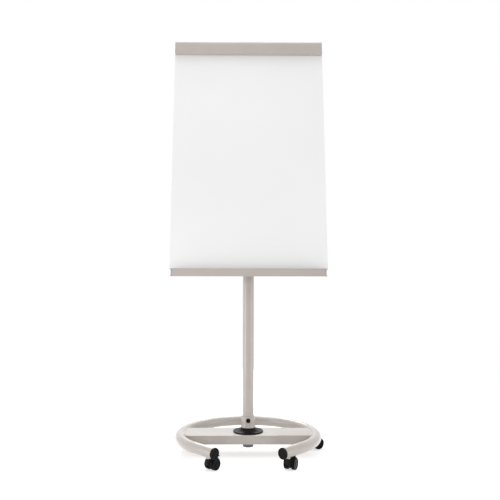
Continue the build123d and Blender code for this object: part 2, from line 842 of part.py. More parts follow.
with BuildPart() as hinge_rail:
    with BuildSketch(section_plane):
        with Locations((0, board_top)):
            Rectangle(track_depth, track_height, align=(Align.MIN, Align.MAX))
        with Locations((-board_thickness, board_top)):
            Rectangle(board_thickness + track_depth, 1.5, align=Align.MIN)
        with Locations((track_depth - track_lip, slot_s)):
            Rectangle(track_lip, track_slot, align=(Align.MIN, Align.CENTER), mode=Mode.SUBTRACT)
        with Locations((track_depth - track_lip - track_groove_depth, slot_s)):
            Rectangle(
                track_groove_depth,
                track_groove,
                align=(Align.MIN, Align.CENTER),
                mode=Mode.SUBTRACT,
            )
    extrude(amount=track_length / 2, both=True)
    for side in (-1, 1):
        with BuildSketch(end_plane(side * (hinge_lug_x + hinge_lug / 2))):
            with Locations((barrel_n, barrel_s)):
                Circle(barrel_r)
            with Locations((barrel_n, board_top)):
                Rectangle(barrel_d, barrel_s - board_top, align=(Align.CENTER, Align.MIN))
            with Locations((barrel_n, barrel_s)):
                Circle(hinge_pin_d / 2 + press_gap, mode=Mode.SUBTRACT)
        extrude(amount=hinge_lug / 2, both=True)
    with BuildSketch(face_plane):
        with Locations(*track_screw_spots):
            Circle(screw_d / 2 + press_gap)
    extrude(amount=track_depth, mode=Mode.SUBTRACT)
save(hinge_rail, "hinge_rail")

with BuildPart() as board_screws:
    with BuildSketch(face_plane.offset(track_depth)):
        with Locations(*track_screw_spots):
            Circle(screw_head_d / 2)
    extrude(amount=screw_head)
    with BuildSketch(face_plane.offset(track_depth)):
        with Locations(*track_screw_spots):
            Circle(screw_d / 2)
    extrude(amount=1 - screw_length)
    with BuildSketch(face_plane.offset(tray_rear - tray_wall)):
        with Locations(*tray_screw_spots):
            Circle(screw_head_d / 2)
    extrude(amount=-screw_head)
    with BuildSketch(face_plane.offset(tray_rear - tray_wall)):
        with Locations(*tray_screw_spots):
            Circle(screw_d / 2)
    extrude(amount=screw_length - tray_wall - 1)
save(board_screws, "board_screws")

pin_outside = hinge_lug_x + hinge_lug
with BuildPart() as hinge_pins:
    with BuildSketch(end_plane(pin_outside)):
        with Locations((barrel_n, barrel_s)):
            Circle(hinge_pin_d / 2)
    extrude(amount=hinge_pin_length)
    mirror(about=Plane.YZ)
save(hinge_pins, "hinge_pins")


# ---- Clamp bar: a hollow cover that swings up on the hinge ---------------------------------
lug_clear = barrel_n + barrel_r + sliding_gap


def clamp_outline(inset, back, under, end):
    """Section of the cover, moved in by the inset, from its lip up and over to its end."""
    front = clamp_depth - inset
    foot = clamp_bottom + inset
    crown = clamp_top - inset
    r_top = clamp_round - inset
    r_foot = max(clamp_foot_round - inset, 0.5)
    with BuildSketch() as outline:
        with BuildLine():
            c1 = Line((back, foot), (front - r_foot, foot))
            c2 = RadiusArc(c1 @ 1, (front, foot + r_foot), -r_foot)
            c3 = Line(c2 @ 1, (front, crown - r_top))
            c4 = RadiusArc(c3 @ 1, (front - r_top, crown), -r_top)
            Polyline(c4 @ 1, (end, crown), (end, under), (back, under), c1 @ 0)
        make_face()
    return outline.sketch


with BuildPart() as clamp_bar:
    with BuildSketch(section_plane):
        add(clamp_outline(0, 1, barrel_s, barrel_n))
        with Locations((barrel_n, barrel_s)):
            Circle(barrel_r)
        add(clamp_outline(clamp_wall, -1, board_top, lug_clear), mode=Mode.SUBTRACT)
        with Locations((barrel_n, barrel_s)):
            Circle(hinge_pin_d / 2 + running_fit, mode=Mode.SUBTRACT)
    extrude(amount=clamp_length / 2, both=True)
    for side in (-1, 1):
        notch_x = side * (barrel_length + clamp_length) / 4
        with BuildSketch(end_plane(notch_x)):
            with Locations((lug_clear, board_top)):
                Rectangle(barrel_d * 2, clamp_top, align=(Align.MAX, Align.MIN))
        extrude(amount=(clamp_length - barrel_length) / 4, both=True, mode=Mode.SUBTRACT)
save(clamp_bar, "clamp_bar")

with BuildPart() as clamp_end_caps:
    with BuildSketch(end_plane(clamp_length / 2 + clamp_cap)):
        add(clamp_outline(0, 1, board_top + 2, lug_clear))
    extrude(amount=clamp_cap - press_gap)
    with BuildSketch(end_plane(clamp_length / 2 + clamp_cap / 2)):
        add(clamp_outline(clamp_wall + seat_gap, 1, board_top + 2, clamp_wall))
        add(clamp_outline(2 * clamp_wall, -1, board_top, 2 * clamp_wall), mode=Mode.SUBTRACT)
    extrude(amount=clamp_cap * 2.5)
    mirror(about=Plane.YZ)
save(clamp_end_caps, "clamp_end_caps")

with BuildPart() as clamp_grip:
    with BuildSketch(section_plane):
        with Locations((sliding_gap, clamp_bottom + clamp_wall + press_gap)):
            Rectangle(grip_t, grip_width, align=Align.MIN)
        with Locations((sliding_gap + grip_t, clamp_bottom + clamp_wall + press_gap)):
            Rectangle(clamp_depth / 2, 2, align=Align.MIN)
    extrude(amount=clamp_length / 2 - 3 * clamp_wall, both=True)
save(clamp_grip, "clamp_grip")

# ---- Pegs that carry the paper pad, sliding in the track -----------------------------------
slide_fit = 2 * running_fit
groove_n = track_depth - track_lip - track_groove_depth

for name, side in (("pad_peg_left", -1), ("pad_peg_right", 1)):
    with BuildPart() as pad_peg:
        with BuildSketch(face_plane.offset(groove_n + slide_fit)):
            with Locations((side * peg_spread, slot_s)):
                RectangleRounded(peg_foot_length, track_groove - 2 * slide_fit, 2)
        extrude(amount=track_groove_depth - 2 * slide_fit)
        with BuildSketch(face_plane.offset(groove_n + slide_fit)):
            with Locations((side * peg_spread, slot_s)):
                Circle(peg_d / 2)
        extrude(amount=track_depth - groove_n - slide_fit + peg_reach)
        chamfer(pad_peg.edges().sort_by(Axis(face_plane.origin, board_out))[-1], peg_chamfer)
        with BuildSketch(face_plane.offset(track_depth + sliding_gap)):
            with Locations((side * peg_spread, slot_s)):
                Circle(peg_collar_d / 2)
        extrude(amount=peg_collar)
    save(pad_peg, name)

# ---- Sleeves in the ring and the stems of the casters --------------------------------------
with BuildPart() as caster_sleeves:
    with BuildSketch(Plane.XY.offset(sleeve_bottom)):
        with Locations(*caster_spots.values()):
            Circle(sleeve_d / 2)
            Circle(stem_d / 2 + press_gap, mode=Mode.SUBTRACT)
    extrude(amount=ring_tube_d - ring_wall * 1.5)
save(caster_sleeves, "caster_sleeves")

with BuildPart() as caster_stems:
    with BuildSketch(Plane.XY.offset(caster_top - stem_depth)):
        with Locations(*caster_spots.values()):
            Circle(stem_d / 2)
    extrude(amount=sleeve_bottom + stem_reach - caster_top + stem_depth)
    with BuildSketch(Plane.XY.offset(caster_top + sliding_gap)):
        with Locations(*caster_spots.values()):
            Circle(stem_shoulder_d / 2)
    extrude(amount=sleeve_bottom - seat_gap - caster_top - sliding_gap)
save(caster_stems, "caster_stems")


# ---- Twin-wheel casters --------------------------------------------------------------------
def caster_plane(spot, heading):
    """Upright plane through a stem: local x trails behind it, y is up, z is along the axle."""
    h = radians(heading)
    return Plane(origin=(*spot, 0), x_dir=(cos(h), sin(h), 0), z_dir=(sin(h), -cos(h), 0))


def make_caster_body(upright, has_brake):
    """Housing round the stem, web between the wheels and hood over them."""
    hood_r = wheel_r + wheel_clearance + caster_hood
    clear_r = wheel_r + wheel_clearance
    hood_edge = wheel_r + 4
    web = wheel_gap - 2 * web_clearance
    stem_plane = Plane(origin=upright.origin + Vector(0, 0, caster_top), x_dir=upright.x_dir)
    with BuildPart() as body:
        with BuildSketch(upright):
            with Locations((caster_trail, wheel_r)):
                Circle(hood_r)
            with Locations((caster_trail, hood_edge)):
                Rectangle(wheel_d * 2, wheel_d, align=(Align.CENTER, Align.MAX), mode=Mode.SUBTRACT)
        extrude(amount=caster_hood_width / 2, both=True)
        with BuildSketch(upright):
            with Locations((caster_trail, wheel_r)):
                Circle(wheel_r * 0.8)
            with Locations((-caster_housing_d / 2, wheel_r * 0.9)):
                Rectangle(caster_trail, wheel_r, align=(Align.MIN, Align.MIN))
        extrude(amount=web / 2, both=True)
        with BuildSketch(stem_plane):
            Circle(caster_housing_d / 2)
        extrude(amount=-stem_depth)
        if has_brake:
            with BuildSketch(upright):
                with Locations((lever_pin_place, lever_rise)):
                    Circle(lever_pin_d / 2 + 1.5)
                with Locations((lever_pin_place, lever_rise)):
                    Rectangle(lever_pin_d + 3, 9, align=(Align.CENTER, Align.MAX))
            extrude(amount=lever_width / 2 + sliding_gap + lever_ear, both=True)
            with BuildSketch(upright):
                with Locations((lever_pin_place, lever_rise)):
                    Circle(lever_pin_d / 2 + 2)
                with Locations((lever_pin_place, lever_rise)):
                    Rectangle(lever_length + 3, lever_t, align=(Align.MIN, Align.MIN))
            extrude(amount=lever_width / 2 + sliding_gap, both=True, mode=Mode.SUBTRACT)
            with BuildSketch(upright):
                with Locations((lever_pin_place, lever_rise)):
                    Circle(lever_pin_d / 2)
            extrude(amount=lever_width / 2 + sliding_gap + 1, both=True)
        for side in (-1, 1):
            with BuildSketch(upright.offset(side * (web / 2 + wheel_width / 2 + web_clearance))):
                with Locations((caster_trail, wheel_r)):
                    Circle(clear_r)
            extrude(amount=wheel_width / 2 + web_clearance, both=True, mode=Mode.SUBTRACT)
        with BuildSketch(stem_plane):
            Circle(stem_d / 2 + running_fit)
        extrude(amount=-stem_depth - seat_gap, mode=Mode.SUBTRACT)
        with BuildSketch(upright):
            with Locations((caster_trail, wheel_r)):
                Circle(axle_d / 2 + press_gap)
        extrude(amount=wheel_d, both=True, mode=Mode.SUBTRACT)
    return body


def make_axle(upright):
    with BuildPart() as axle:
        with BuildSketch(upright):
            with Locations((caster_trail, wheel_r)):
                Circle(axle_d / 2)
        extrude(amount=wheel_gap / 2 + wheel_width - wheel_cap, both=True)
    return axle


def make_wheel(upright, side):
    """One wheel of a pair, turned about the axle, with a dished outer face."""
    hub = upright.origin + upright.x_dir * caster_trail + Vector(0, 0, wheel_r)
    inner = side * wheel_gap / 2
    outer = side * (wheel_gap / 2 + wheel_width)
    bore_end = outer - side * (wheel_cap - sliding_gap)
    bore_r = axle_d / 2 + running_fit
    with BuildPart() as wheel:
        with BuildSketch(Plane(origin=hub, x_dir=upright.z_dir, z_dir=-upright.x_dir)):
            with BuildLine():
                Polyline(
                    (inner, bore_r),
                    (bore_end, bore_r),
                    (bore_end, 0),
                    (outer - side * 0.4, 0),
                    (outer - side * 0.4, wheel_r * 0.3),
                    (outer - side * 1.6, wheel_r * 0.4),
                    (outer - side * 1.6, wheel_r * 0.7),
                    (outer, wheel_r * 0.82),
                    (outer - side * 0.6, wheel_r - 1.6),
                    (outer - side * 2.6, wheel_r),
                    (inner + side, wheel_r),
                    (inner, wheel_r - 1),
                    close=True,
                )
            make_face()
        revolve(axis=Axis(hub, upright.z_dir))
    return wheel


def make_lever(upright):
    with BuildPart() as lever:
        with BuildSketch(upright):
            with Locations((lever_pin_place, lever_rise)):
                Circle(lever_pin_d / 2 + 1.5)
                Rectangle(lever_length, lever_t, align=(Align.MIN, Align.MIN))
            with Locations((lever_pin_place, lever_rise)):
                Circle(lever_pin_d / 2 + running_fit, mode=Mode.SUBTRACT)
        extrude(amount=lever_width / 2, both=True)
    return lever


for number, (spot, heading) in casters.items():
    upright = caster_plane(spot, heading)
    save(make_caster_body(upright, number in braked), f"caster_{number}_body")
    save(make_axle(upright), f"caster_{number}_axle")
    save(make_wheel(upright, -1), f"caster_{number}_wheel_left")
    save(make_wheel(upright, 1), f"caster_{number}_wheel_right")
    if number in braked:
        save(make_lever(upright), f"caster_{number}_brake_lever")
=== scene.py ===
# %% [markdown]
# # A mobile flipchart easel
#
# This notebook dresses a finished engineering model. The model brings the true size and
# place of every piece. What is added here is what an eye expects of the real
# object: even edges that catch the light, powder coat, enamel, moulded plastic and zinc.
# It starts by loading the model. Each piece that is made again below is compared with the
# box of the model's piece that it stands for.

import json
from math import atan2, cos, pi, radians, sin, sqrt

import bpy
from mathutils import Matrix, Vector

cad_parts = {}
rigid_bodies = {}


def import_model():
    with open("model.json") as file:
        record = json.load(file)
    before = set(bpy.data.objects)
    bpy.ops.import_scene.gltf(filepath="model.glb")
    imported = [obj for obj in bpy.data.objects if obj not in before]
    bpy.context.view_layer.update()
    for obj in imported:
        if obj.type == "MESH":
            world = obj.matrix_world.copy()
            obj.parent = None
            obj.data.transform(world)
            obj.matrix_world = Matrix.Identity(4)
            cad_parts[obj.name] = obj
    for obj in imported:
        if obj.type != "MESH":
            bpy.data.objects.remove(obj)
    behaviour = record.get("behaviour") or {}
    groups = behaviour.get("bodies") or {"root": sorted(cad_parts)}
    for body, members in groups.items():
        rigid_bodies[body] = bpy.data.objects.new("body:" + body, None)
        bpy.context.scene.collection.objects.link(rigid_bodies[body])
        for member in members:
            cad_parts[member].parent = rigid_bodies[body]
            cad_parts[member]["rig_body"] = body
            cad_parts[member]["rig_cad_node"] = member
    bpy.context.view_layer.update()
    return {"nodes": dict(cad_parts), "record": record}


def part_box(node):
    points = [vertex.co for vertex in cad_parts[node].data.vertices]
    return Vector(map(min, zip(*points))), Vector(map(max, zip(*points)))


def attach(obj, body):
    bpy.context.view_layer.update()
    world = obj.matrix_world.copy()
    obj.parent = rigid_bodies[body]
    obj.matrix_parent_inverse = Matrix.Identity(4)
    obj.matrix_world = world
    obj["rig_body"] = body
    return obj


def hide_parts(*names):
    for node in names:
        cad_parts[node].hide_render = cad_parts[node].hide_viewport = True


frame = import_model()
cad_nodes = frame["nodes"]
MM = 0.001
print("pieces in the frame:", len(cad_nodes))

# %% [markdown]
# ## Where the viewer stands
#
# The easel is seen from the front, a little over three metres away, at the height of the
# lower part of the board. The camera is level, which keeps the column upright in the
# picture, and it is turned by half a degree only. A moderately long lens keeps the base
# and the board in their true proportion.

# %% Camera
CAMERA_PLACE = Vector((-0.0265, -3.404, 0.925))
CAMERA_LENS = 53.97
CAMERA_PITCH = -0.0008
CAMERA_YAW = -0.0098
CAMERA_ROLL = -0.0020

scene = bpy.context.scene
camera_data = bpy.data.cameras.new("camera")
camera_data.lens = CAMERA_LENS
camera_data.sensor_width = 36
camera_data.clip_end = 100
camera = bpy.data.objects.new("camera", camera_data)
camera.location = CAMERA_PLACE
camera.rotation_euler = (pi / 2 + CAMERA_PITCH, CAMERA_ROLL, CAMERA_YAW)
scene.collection.objects.link(camera)
scene.camera = camera
print("distance to the column:", round(-CAMERA_PLACE.y, 3))

# %% [markdown]
# ## Light
#
# Office furniture is shown under large soft boxes, so nothing has a hard shadow. A pale
# world gives the fill. A wide lamp overhead and one far behind make every upper face
# brighter than the faces that look at the viewer, a weak one in front opens those, and one
# low on each side rounds the tubes. The world is pure white only where it is seen directly
# or mirrored, so it makes the background without pouring more light on the easel.

# %% World and lamps
WORLD_LEVEL = 0.68
ROOM_DARKNESS = 0.1
ROOM_EDGE = (-0.95, -0.35)
WHITE = (1, 1, 1, 1)
# Each lamp has its place, the point it looks at, its width and its power in watts.
LAMPS = {
    "overhead": ((-0.3, 0.3, 3.8), (0, 0, 0.4), 2.4, 23),
    "behind": ((-0.3, 2.5, 2.6), (0, 0, 0.1), 1.8, 48),
    "front": ((0, -4.8, 1.3), (0, 0, 0.8), 3.0, 28),
    "left": ((-3.2, -1.5, 0.5), (0, 0, 0.5), 2.0, 38),
    "right": ((3.2, -1.5, 0.5), (0, 0, 0.5), 2.0, 22),
}


def add_node(tree, kind, inputs=None, operation=None):
    """A new node of a kind, with some of its inputs set."""
    node = tree.nodes.new("ShaderNode" + kind)
    if operation:
        node.operation = operation
    for socket, value in (inputs or {}).items():
        node.inputs[socket].default_value = value
    return node


def seen_or_mirrored(tree):
    """One where a ray comes from the camera, a reflection or through glass, else zero."""
    path = add_node(tree, "LightPath")
    level = path.outputs["Is Camera Ray"]
    for ray in ("Is Glossy Ray", "Is Transmission Ray"):
        larger = add_node(tree, "Math", operation="MAXIMUM")
        tree.links.new(level, larger.inputs[0])
        tree.links.new(path.outputs[ray], larger.inputs[1])
        level = larger.outputs[0]
    return level


scene.view_settings.view_transform = "Standard"
world = bpy.data.worlds.new("studio")
scene.world = world
world.use_nodes = True
sky = world.node_tree
sky.nodes.clear()
fill = add_node(sky, "Background", {"Color": WHITE, "Strength": WORLD_LEVEL})
backdrop = add_node(sky, "Background", {"Color": WHITE})
sky_mix = add_node(sky, "MixShader")
sky_out = add_node(sky, "OutputWorld")
sky_split = add_node(sky, "SeparateXYZ")
room = add_node(sky, "MapRange", {"To Min": ROOM_DARKNESS, "To Max": 1})
room.inputs["From Min"].default_value, room.inputs["From Max"].default_value = ROOM_EDGE
room.interpolation_type = "SMOOTHSTEP"
sky_level = add_node(sky, "Math", operation="MAXIMUM")
for source, target in (
    (add_node(sky, "TexCoord").outputs["Generated"], sky_split.inputs[0]),
    (sky_split.outputs["Y"], room.inputs["Value"]),
    (room.outputs["Result"], sky_level.inputs[0]),
    (add_node(sky, "LightPath").outputs["Is Camera Ray"], sky_level.inputs[1]),
    (sky_level.outputs[0], backdrop.inputs["Strength"]),
    (seen_or_mirrored(sky), sky_mix.inputs["Fac"]),
    (fill.outputs[0], sky_mix.inputs[1]),
    (backdrop.outputs[0], sky_mix.inputs[2]),
    (sky_mix.outputs[0], sky_out.inputs["Surface"]),
):
    sky.links.new(source, target)

for lamp_name, (place, target, size, power) in LAMPS.items():
    lamp_data = bpy.data.lights.new(lamp_name, "AREA")
    lamp_data.size = size
    lamp_data.energy = power
    lamp = bpy.data.objects.new(lamp_name, lamp_data)
    lamp.location = place
    aim = Vector(target) - Vector(place)
    lamp.rotation_euler = aim.to_track_quat("-Z", "Y").to_euler()
    lamp.visible_camera = False
    scene.collection.objects.link(lamp)
print("lamps:", len(LAMPS), "world level:", WORLD_LEVEL)

# %% [markdown]
# ## Floor
#
# The easel stands on a seamless pale floor. It could be a sheet of studio paper with
# a curved rise, but a flat disc is enough here, because the world behind it is white as
# well. The floor has its own diffuse grey, so it takes the soft contact shadows of the
# casters, and a little extra glow that only the camera and reflections meet.

# %% Floor
FLOOR_GREY = 0.8
FLOOR_GLOW = 0.55
FLOOR_RADIUS = 2.4

bpy.ops.object.select_all(action="DESELECT")
bpy.ops.mesh.primitive_circle_add(vertices=96, radius=FLOOR_RADIUS, fill_type="NGON")
floor = bpy.context.active_object
floor.name = "floor"
floor_paper = bpy.data.materials.new("floor_paper")
floor_paper.use_nodes = True
paper_tree = floor_paper.node_tree
paper_tree.nodes.clear()
paper_out = add_node(paper_tree, "OutputMaterial")
paper = add_node(paper_tree, "BsdfDiffuse", {"Color": (FLOOR_GREY, FLOOR_GREY, FLOOR_GREY, 1)})
glow = add_node(paper_tree, "Emission")
both = add_node(paper_tree, "AddShader")
glow_level = add_node(paper_tree, "Math", {1: FLOOR_GLOW}, "MULTIPLY")
for source, target in (
    (seen_or_mirrored(paper_tree), glow_level.inputs[0]),
    (glow_level.outputs[0], glow.inputs["Strength"]),
    (paper.outputs[0], both.inputs[0]),
    (glow.outputs[0], both.inputs[1]),
    (both.outputs[0], paper_out.inputs["Surface"]),
):
    paper_tree.links.new(source, target)
floor.data.materials.append(floor_paper)
print("floor radius:", FLOOR_RADIUS)

# %% [markdown]
# ## How a finish is mixed
#
# No real surface is one flat colour. Every finish below starts as a plain shader, and
# then gets two or three fine patterns: one that drifts in colour, one that drifts in
# gloss, and one that raises a fine grain. The patterns are read from object coordinates,
# which are metres here, so a scale of 1000 makes a grain of about one millimetre.

# %% Tools for finishes
def linear(red, green, blue):
    """A colour on the usual 0 to 255 scale, as the linear light that a shader wants."""
    parts = []
    for part in (red, green, blue):
        share = part / 255
        low = share / 12.92
        high = ((share + 0.055) / 1.055) ** 2.4
        parts.append(low if share <= 0.04045 else high)
    return (*parts, 1)


finishes = {}


def start_finish(name, metallic=0.0, roughness=0.5):
    """A new material with a plain shader, and the object coordinates it reads."""
    finishes[name] = bpy.data.materials.new(name)
    finishes[name].use_nodes = True
    tree = finishes[name].node_tree
    shader = tree.nodes["Principled BSDF"]
    shader.inputs["Metallic"].default_value = metallic
    shader.inputs["Roughness"].default_value = roughness
    print("finish:", name)
    return tree, shader, add_node(tree, "TexCoord").outputs["Object"]


def pattern(tree, spot, scale, stretch=(1, 1, 1), detail=2.0, cells=False):
    """A noise, or a pattern of cells; stretch below one draws it out along that axis."""
    mapping = add_node(tree, "Mapping", {"Scale": stretch})
    if cells:
        texture = add_node(tree, "TexVoronoi", {"Scale": scale})
    else:
        texture = add_node(tree, "TexNoise", {"Scale": scale, "Detail": detail})
    tree.links.new(spot, mapping.inputs["Vector"])
    tree.links.new(mapping.outputs[0], texture.inputs["Vector"])
    return texture.outputs["Distance" if cells else "Fac"]


def tint(tree, shader, wave, dark, light, low=0.3, high=0.7):
    """Lets the base colour drift between two shades with a pattern."""
    ramp = add_node(tree, "ValToRGB")
    for stop, place, shade in zip(ramp.color_ramp.elements, (low, high), (dark, light)):
        stop.position = place
        stop.color = linear(*shade)
    tree.links.new(wave, ramp.inputs["Fac"])
    tree.links.new(ramp.outputs["Color"], shader.inputs["Base Color"])


def sheen_drift(tree, shader, wave, smooth, rough):
    """Lets the roughness drift between two values with a pattern."""
    drift = add_node(tree, "MapRange", {"To Min": smooth, "To Max": rough})
    tree.links.new(wave, drift.inputs["Value"])
    tree.links.new(drift.outputs["Result"], shader.inputs["Roughness"])


def grain(tree, shader, wave, strength, depth, second=None, share=0.5):
    """Raises a fine relief from one pattern, or from two added together."""
    if second is not None:
        weight = add_node(tree, "Math", {1: share}, "MULTIPLY_ADD")
        tree.links.new(second, weight.inputs[0])
        tree.links.new(wave, weight.inputs[2])
        wave = weight.outputs[0]
    relief = add_node(tree, "Bump", {"Strength": strength, "Distance": depth})
    tree.links.new(wave, relief.inputs["Height"])
    tree.links.new(relief.outputs["Normal"], shader.inputs["Normal"])


print("a mid grey is", round(linear(128, 128, 128)[0], 3))

# %% [markdown]
# ## Powder coat on steel
#
# The ring, the crossbar and the column are steel with a warm grey powder coat. Powder
# melts into a skin like orange peel: soft bumps a millimetre or two wide, and between
# them a much finer tooth. The gloss is satin, and it varies a little where the film is
# thicker.

# %% Powder coat
tree, shader, spot = start_finish("paint_taupe", roughness=0.38)
cloud = pattern(tree, spot, 9, detail=3)
tint(tree, shader, cloud, (180, 171, 164), (188, 180, 173))
sheen_drift(tree, shader, pattern(tree, spot, 60), 0.33, 0.44)
peel = pattern(tree, spot, 620, detail=1)
tooth = pattern(tree, spot, 2600, detail=2)
grain(tree, shader, peel, 0.35, 0.00012, tooth, 0.35)
shader.inputs["Coat Weight"].default_value = 0.9
shader.inputs["Coat Roughness"].default_value = 0.22

# %% [markdown]
# ## Lacquered extrusion
#
# The tray and the paper clamp are pressed through a die as long profiles and then
# lacquered. A die leaves faint draw lines along the length, so the pattern is stretched
# far along the X axis, where those pieces are long.

# %% Lacquer on drawn metal
ALONG_X = (0.012, 1, 1)
tree, shader, spot = start_finish("profile_taupe", roughness=0.34)
cloud = pattern(tree, spot, 7, detail=3)
tint(tree, shader, cloud, (185, 176, 171), (191, 182, 177))
draw_lines = pattern(tree, spot, 1500, ALONG_X, detail=2)
sheen_drift(tree, shader, draw_lines, 0.29, 0.4)
grain(tree, shader, draw_lines, 0.25, 0.00006)

# %% [markdown]
# ## Enamel on the writing face
#
# A writing face is enamelled or lacquered sheet. It is nearly white and smooth enough to
# be wiped clean. Its waves are long and very shallow, so they only bend a reflection, and
# a clear coat on top gives it the hard shine of glass.

# %% Enamel
tree, shader, spot = start_finish("board_white", roughness=0.3)
cloud = pattern(tree, spot, 2.2, detail=2)
tint(tree, shader, cloud, (243, 243, 243), (246, 246, 246))
wave = pattern(tree, spot, 45, detail=2)
sheen_drift(tree, shader, pattern(tree, spot, 14), 0.26, 0.34)
grain(tree, shader, wave, 0.08, 0.0004)
shader.inputs["Coat Weight"].default_value = 0.35
shader.inputs["Coat Roughness"].default_value = 0.12

# %% [markdown]
# ## Back sheet
#
# The back of the board is thin galvanised sheet with a grey lacquer: crystals of zinc show
# through it as faint flakes. Noise would look like clouds here, so the pattern is made of
# cells, which have the plain edges of crystals.

# %% Back sheet
tree, shader, spot = start_finish("back_grey", metallic=0.25, roughness=0.45)
flakes = pattern(tree, spot, 85, cells=True)
tint(tree, shader, flakes, (161, 161, 160), (171, 171, 169), 0.1, 0.8)
sheen_drift(tree, shader, flakes, 0.38, 0.52)
grain(tree, shader, pattern(tree, spot, 1400, detail=3), 0.2, 0.00005)

# %% [markdown]
# ## Paper core
#
# The core is pressed paper board, which is fibrous and dull. It hardly shows, so one noise
# that is drawn out along the height is enough for its fibres.

# %% Paper core
tree, shader, spot = start_finish("core_board", roughness=0.9)
fibres = pattern(tree, spot, 900, (1, 1, 0.2), detail=4)
tint(tree, shader, fibres, (126, 104, 78), (176, 152, 120))
grain(tree, shader, fibres, 0.5, 0.0002)

# %% [markdown]
# ## Rubber
#
# The clamp's grip is soft rubber. It has no gloss, so the roughness stays high everywhere,
# and a soft noise in the colour gives it a bloom like talc.

# %% Rubber
tree, shader, spot = start_finish("grip_rubber", roughness=0.8)
bloom = pattern(tree, spot, 120, detail=4)
tint(tree, shader, bloom, (42, 42, 43), (54, 54, 55))
grain(tree, shader, pattern(tree, spot, 2200), 0.4, 0.0001)

# %% [markdown]
# ## Black textured plastic
#
# Four plastics are used. Knobs, end caps and the disc are black with a spark-eroded
# texture, which is a field of tiny pits. A dark plastic that mirrors much of a white room
# looks grey, so the specular level is turned down.

# %% Black textured plastic
tree, shader, spot = start_finish("black_plastic", roughness=0.42)
tint(tree, shader, pattern(tree, spot, 30, detail=3), (15, 15, 15), (21, 21, 21))
shader.inputs["Specular IOR Level"].default_value = 0.12
pits = pattern(tree, spot, 1700, cells=True)
sheen_drift(tree, shader, pattern(tree, spot, 400), 0.36, 0.5)
grain(tree, shader, pits, 0.3, 0.0001)

# %% [markdown]
# ## Nylon of the casters
#
# The casters are deep black nylon with the smooth skin of a polished mould. Its relief is
# wide and very shallow, so it only bends the reflections a little.

# %% Nylon of the casters
tree, shader, spot = start_finish("wheel_black", roughness=0.22)
tint(tree, shader, pattern(tree, spot, 50, detail=2), (4, 4, 4), (7, 7, 7))
shader.inputs["Specular IOR Level"].default_value = 0.08
sheen_drift(tree, shader, pattern(tree, spot, 180, detail=3), 0.16, 0.3)
grain(tree, shader, pattern(tree, spot, 320, detail=2), 0.08, 0.0001)

# %% [markdown]
# ## Grey plastic
#
# The caps at the ends of the tray and the clamp are a light grey. They have the same kind
# of pits as the knobs, and a higher roughness, because pale plastic looks duller.

# %% Grey plastic
tree, shader, spot = start_finish("cap_grey", roughness=0.5)
tint(tree, shader, pattern(tree, spot, 60, detail=3), (170, 171, 173), (177, 178, 180))
grain(tree, shader, pattern(tree, spot, 1500, cells=True), 0.3, 0.0001)
sheen_drift(tree, shader, pattern(tree, spot, 300), 0.44, 0.56)

# %% [markdown]
# ## Natural nylon
#
# The glide at the foot of the mast is natural nylon, milky and a little see-through. It
# could be made with a transparent shader, but a small subsurface weight lets the light go
# a millimetre or two into it and looks more like wax, as nylon does.

# %% Natural nylon
tree, shader, spot = start_finish("glide_nylon", roughness=0.45)
tint(tree, shader, pattern(tree, spot, 40, detail=3), (214, 210, 198), (226, 223, 213))
grain(tree, shader, pattern(tree, spot, 900), 0.15, 0.0001)
shader.inputs["Subsurface Weight"].default_value = 0.15
shader.inputs["Subsurface Radius"].default_value = (0.002, 0.002, 0.0015)

# %% [markdown]
# ## Steel
#
# Screws, pins and stems are bright steel that was drawn and turned, so its marks run in
# one direction. The noise is drawn out along the height to give those marks.

# %% Steel
tree, shader, spot = start_finish("steel", metallic=1.0, roughness=0.3)
tint(tree, shader, pattern(tree, spot, 90, detail=3), (186, 187, 189), (204, 205, 207))
lathe_marks = pattern(tree, spot, 2400, (1, 1, 0.03), detail=2)
sheen_drift(tree, shader, lathe_marks, 0.22, 0.38)
grain(tree, shader, lathe_marks, 0.15, 0.00004)

# %% [markdown]
# ## Zinc
#
# The hand nut under the crossbar is zinc, grey and slightly cloudy, with dull patches where
# it has been handled. One slow noise drives both the colour and the gloss, so that a dull
# patch is a paler one as well.

# %% Zinc
tree, shader, spot = start_finish("nut_zinc", metallic=0.85, roughness=0.4)
handled = pattern(tree, spot, 70, detail=4)
tint(tree, shader, handled, (104, 103, 102), (132, 131, 129))
sheen_drift(tree, shader, handled, 0.3, 0.5)
grain(tree, shader, pattern(tree, spot, 1100, detail=3), 0.3, 0.00008)
print("finishes:", sorted(finishes))

# %% [markdown]
# ## Finishes on the model's own pieces
#
# The model says which finish each of its pieces has. Every piece that stays as it is gets
# the finish of the same name. Pieces that are made again below bring their own mesh, and
# they take the place of the model's.

# %% Dress the model's pieces
slot_of = {part["node"]: part["material_slot"] for part in frame["record"]["subparts"]}
body_of_node = {}
for body_name, members in frame["record"]["behaviour"]["bodies"].items():
    for member in members:
        body_of_node[member] = body_name
for node_name, node in cad_nodes.items():
    for place in node.material_slots:
        place.material = finishes[slot_of[node_name]]
print("dressed:", len(cad_nodes))

# %% [markdown]
# ## Tools for shaping
#
# Almost every piece of the easel is either a drawn profile, a turned part or a moulding.
# So three moves cover most of it: draw an outline from corner to corner, push it along a
# line, or spin it round an axis. A last move rounds the edges, because an edge with no
# radius catches no light and gives a model away at once.
#
# Every tool acts on what is selected. By hand one would click on it, and here a few short
# functions choose the piece, and the corners or faces that pass a test.

# %% Choosing what to work on
def look_only_at(piece):
    """Selects one piece and nothing else."""
    bpy.ops.object.select_all(action="DESELECT")
    piece.select_set(True)
    bpy.context.view_layer.objects.active = piece


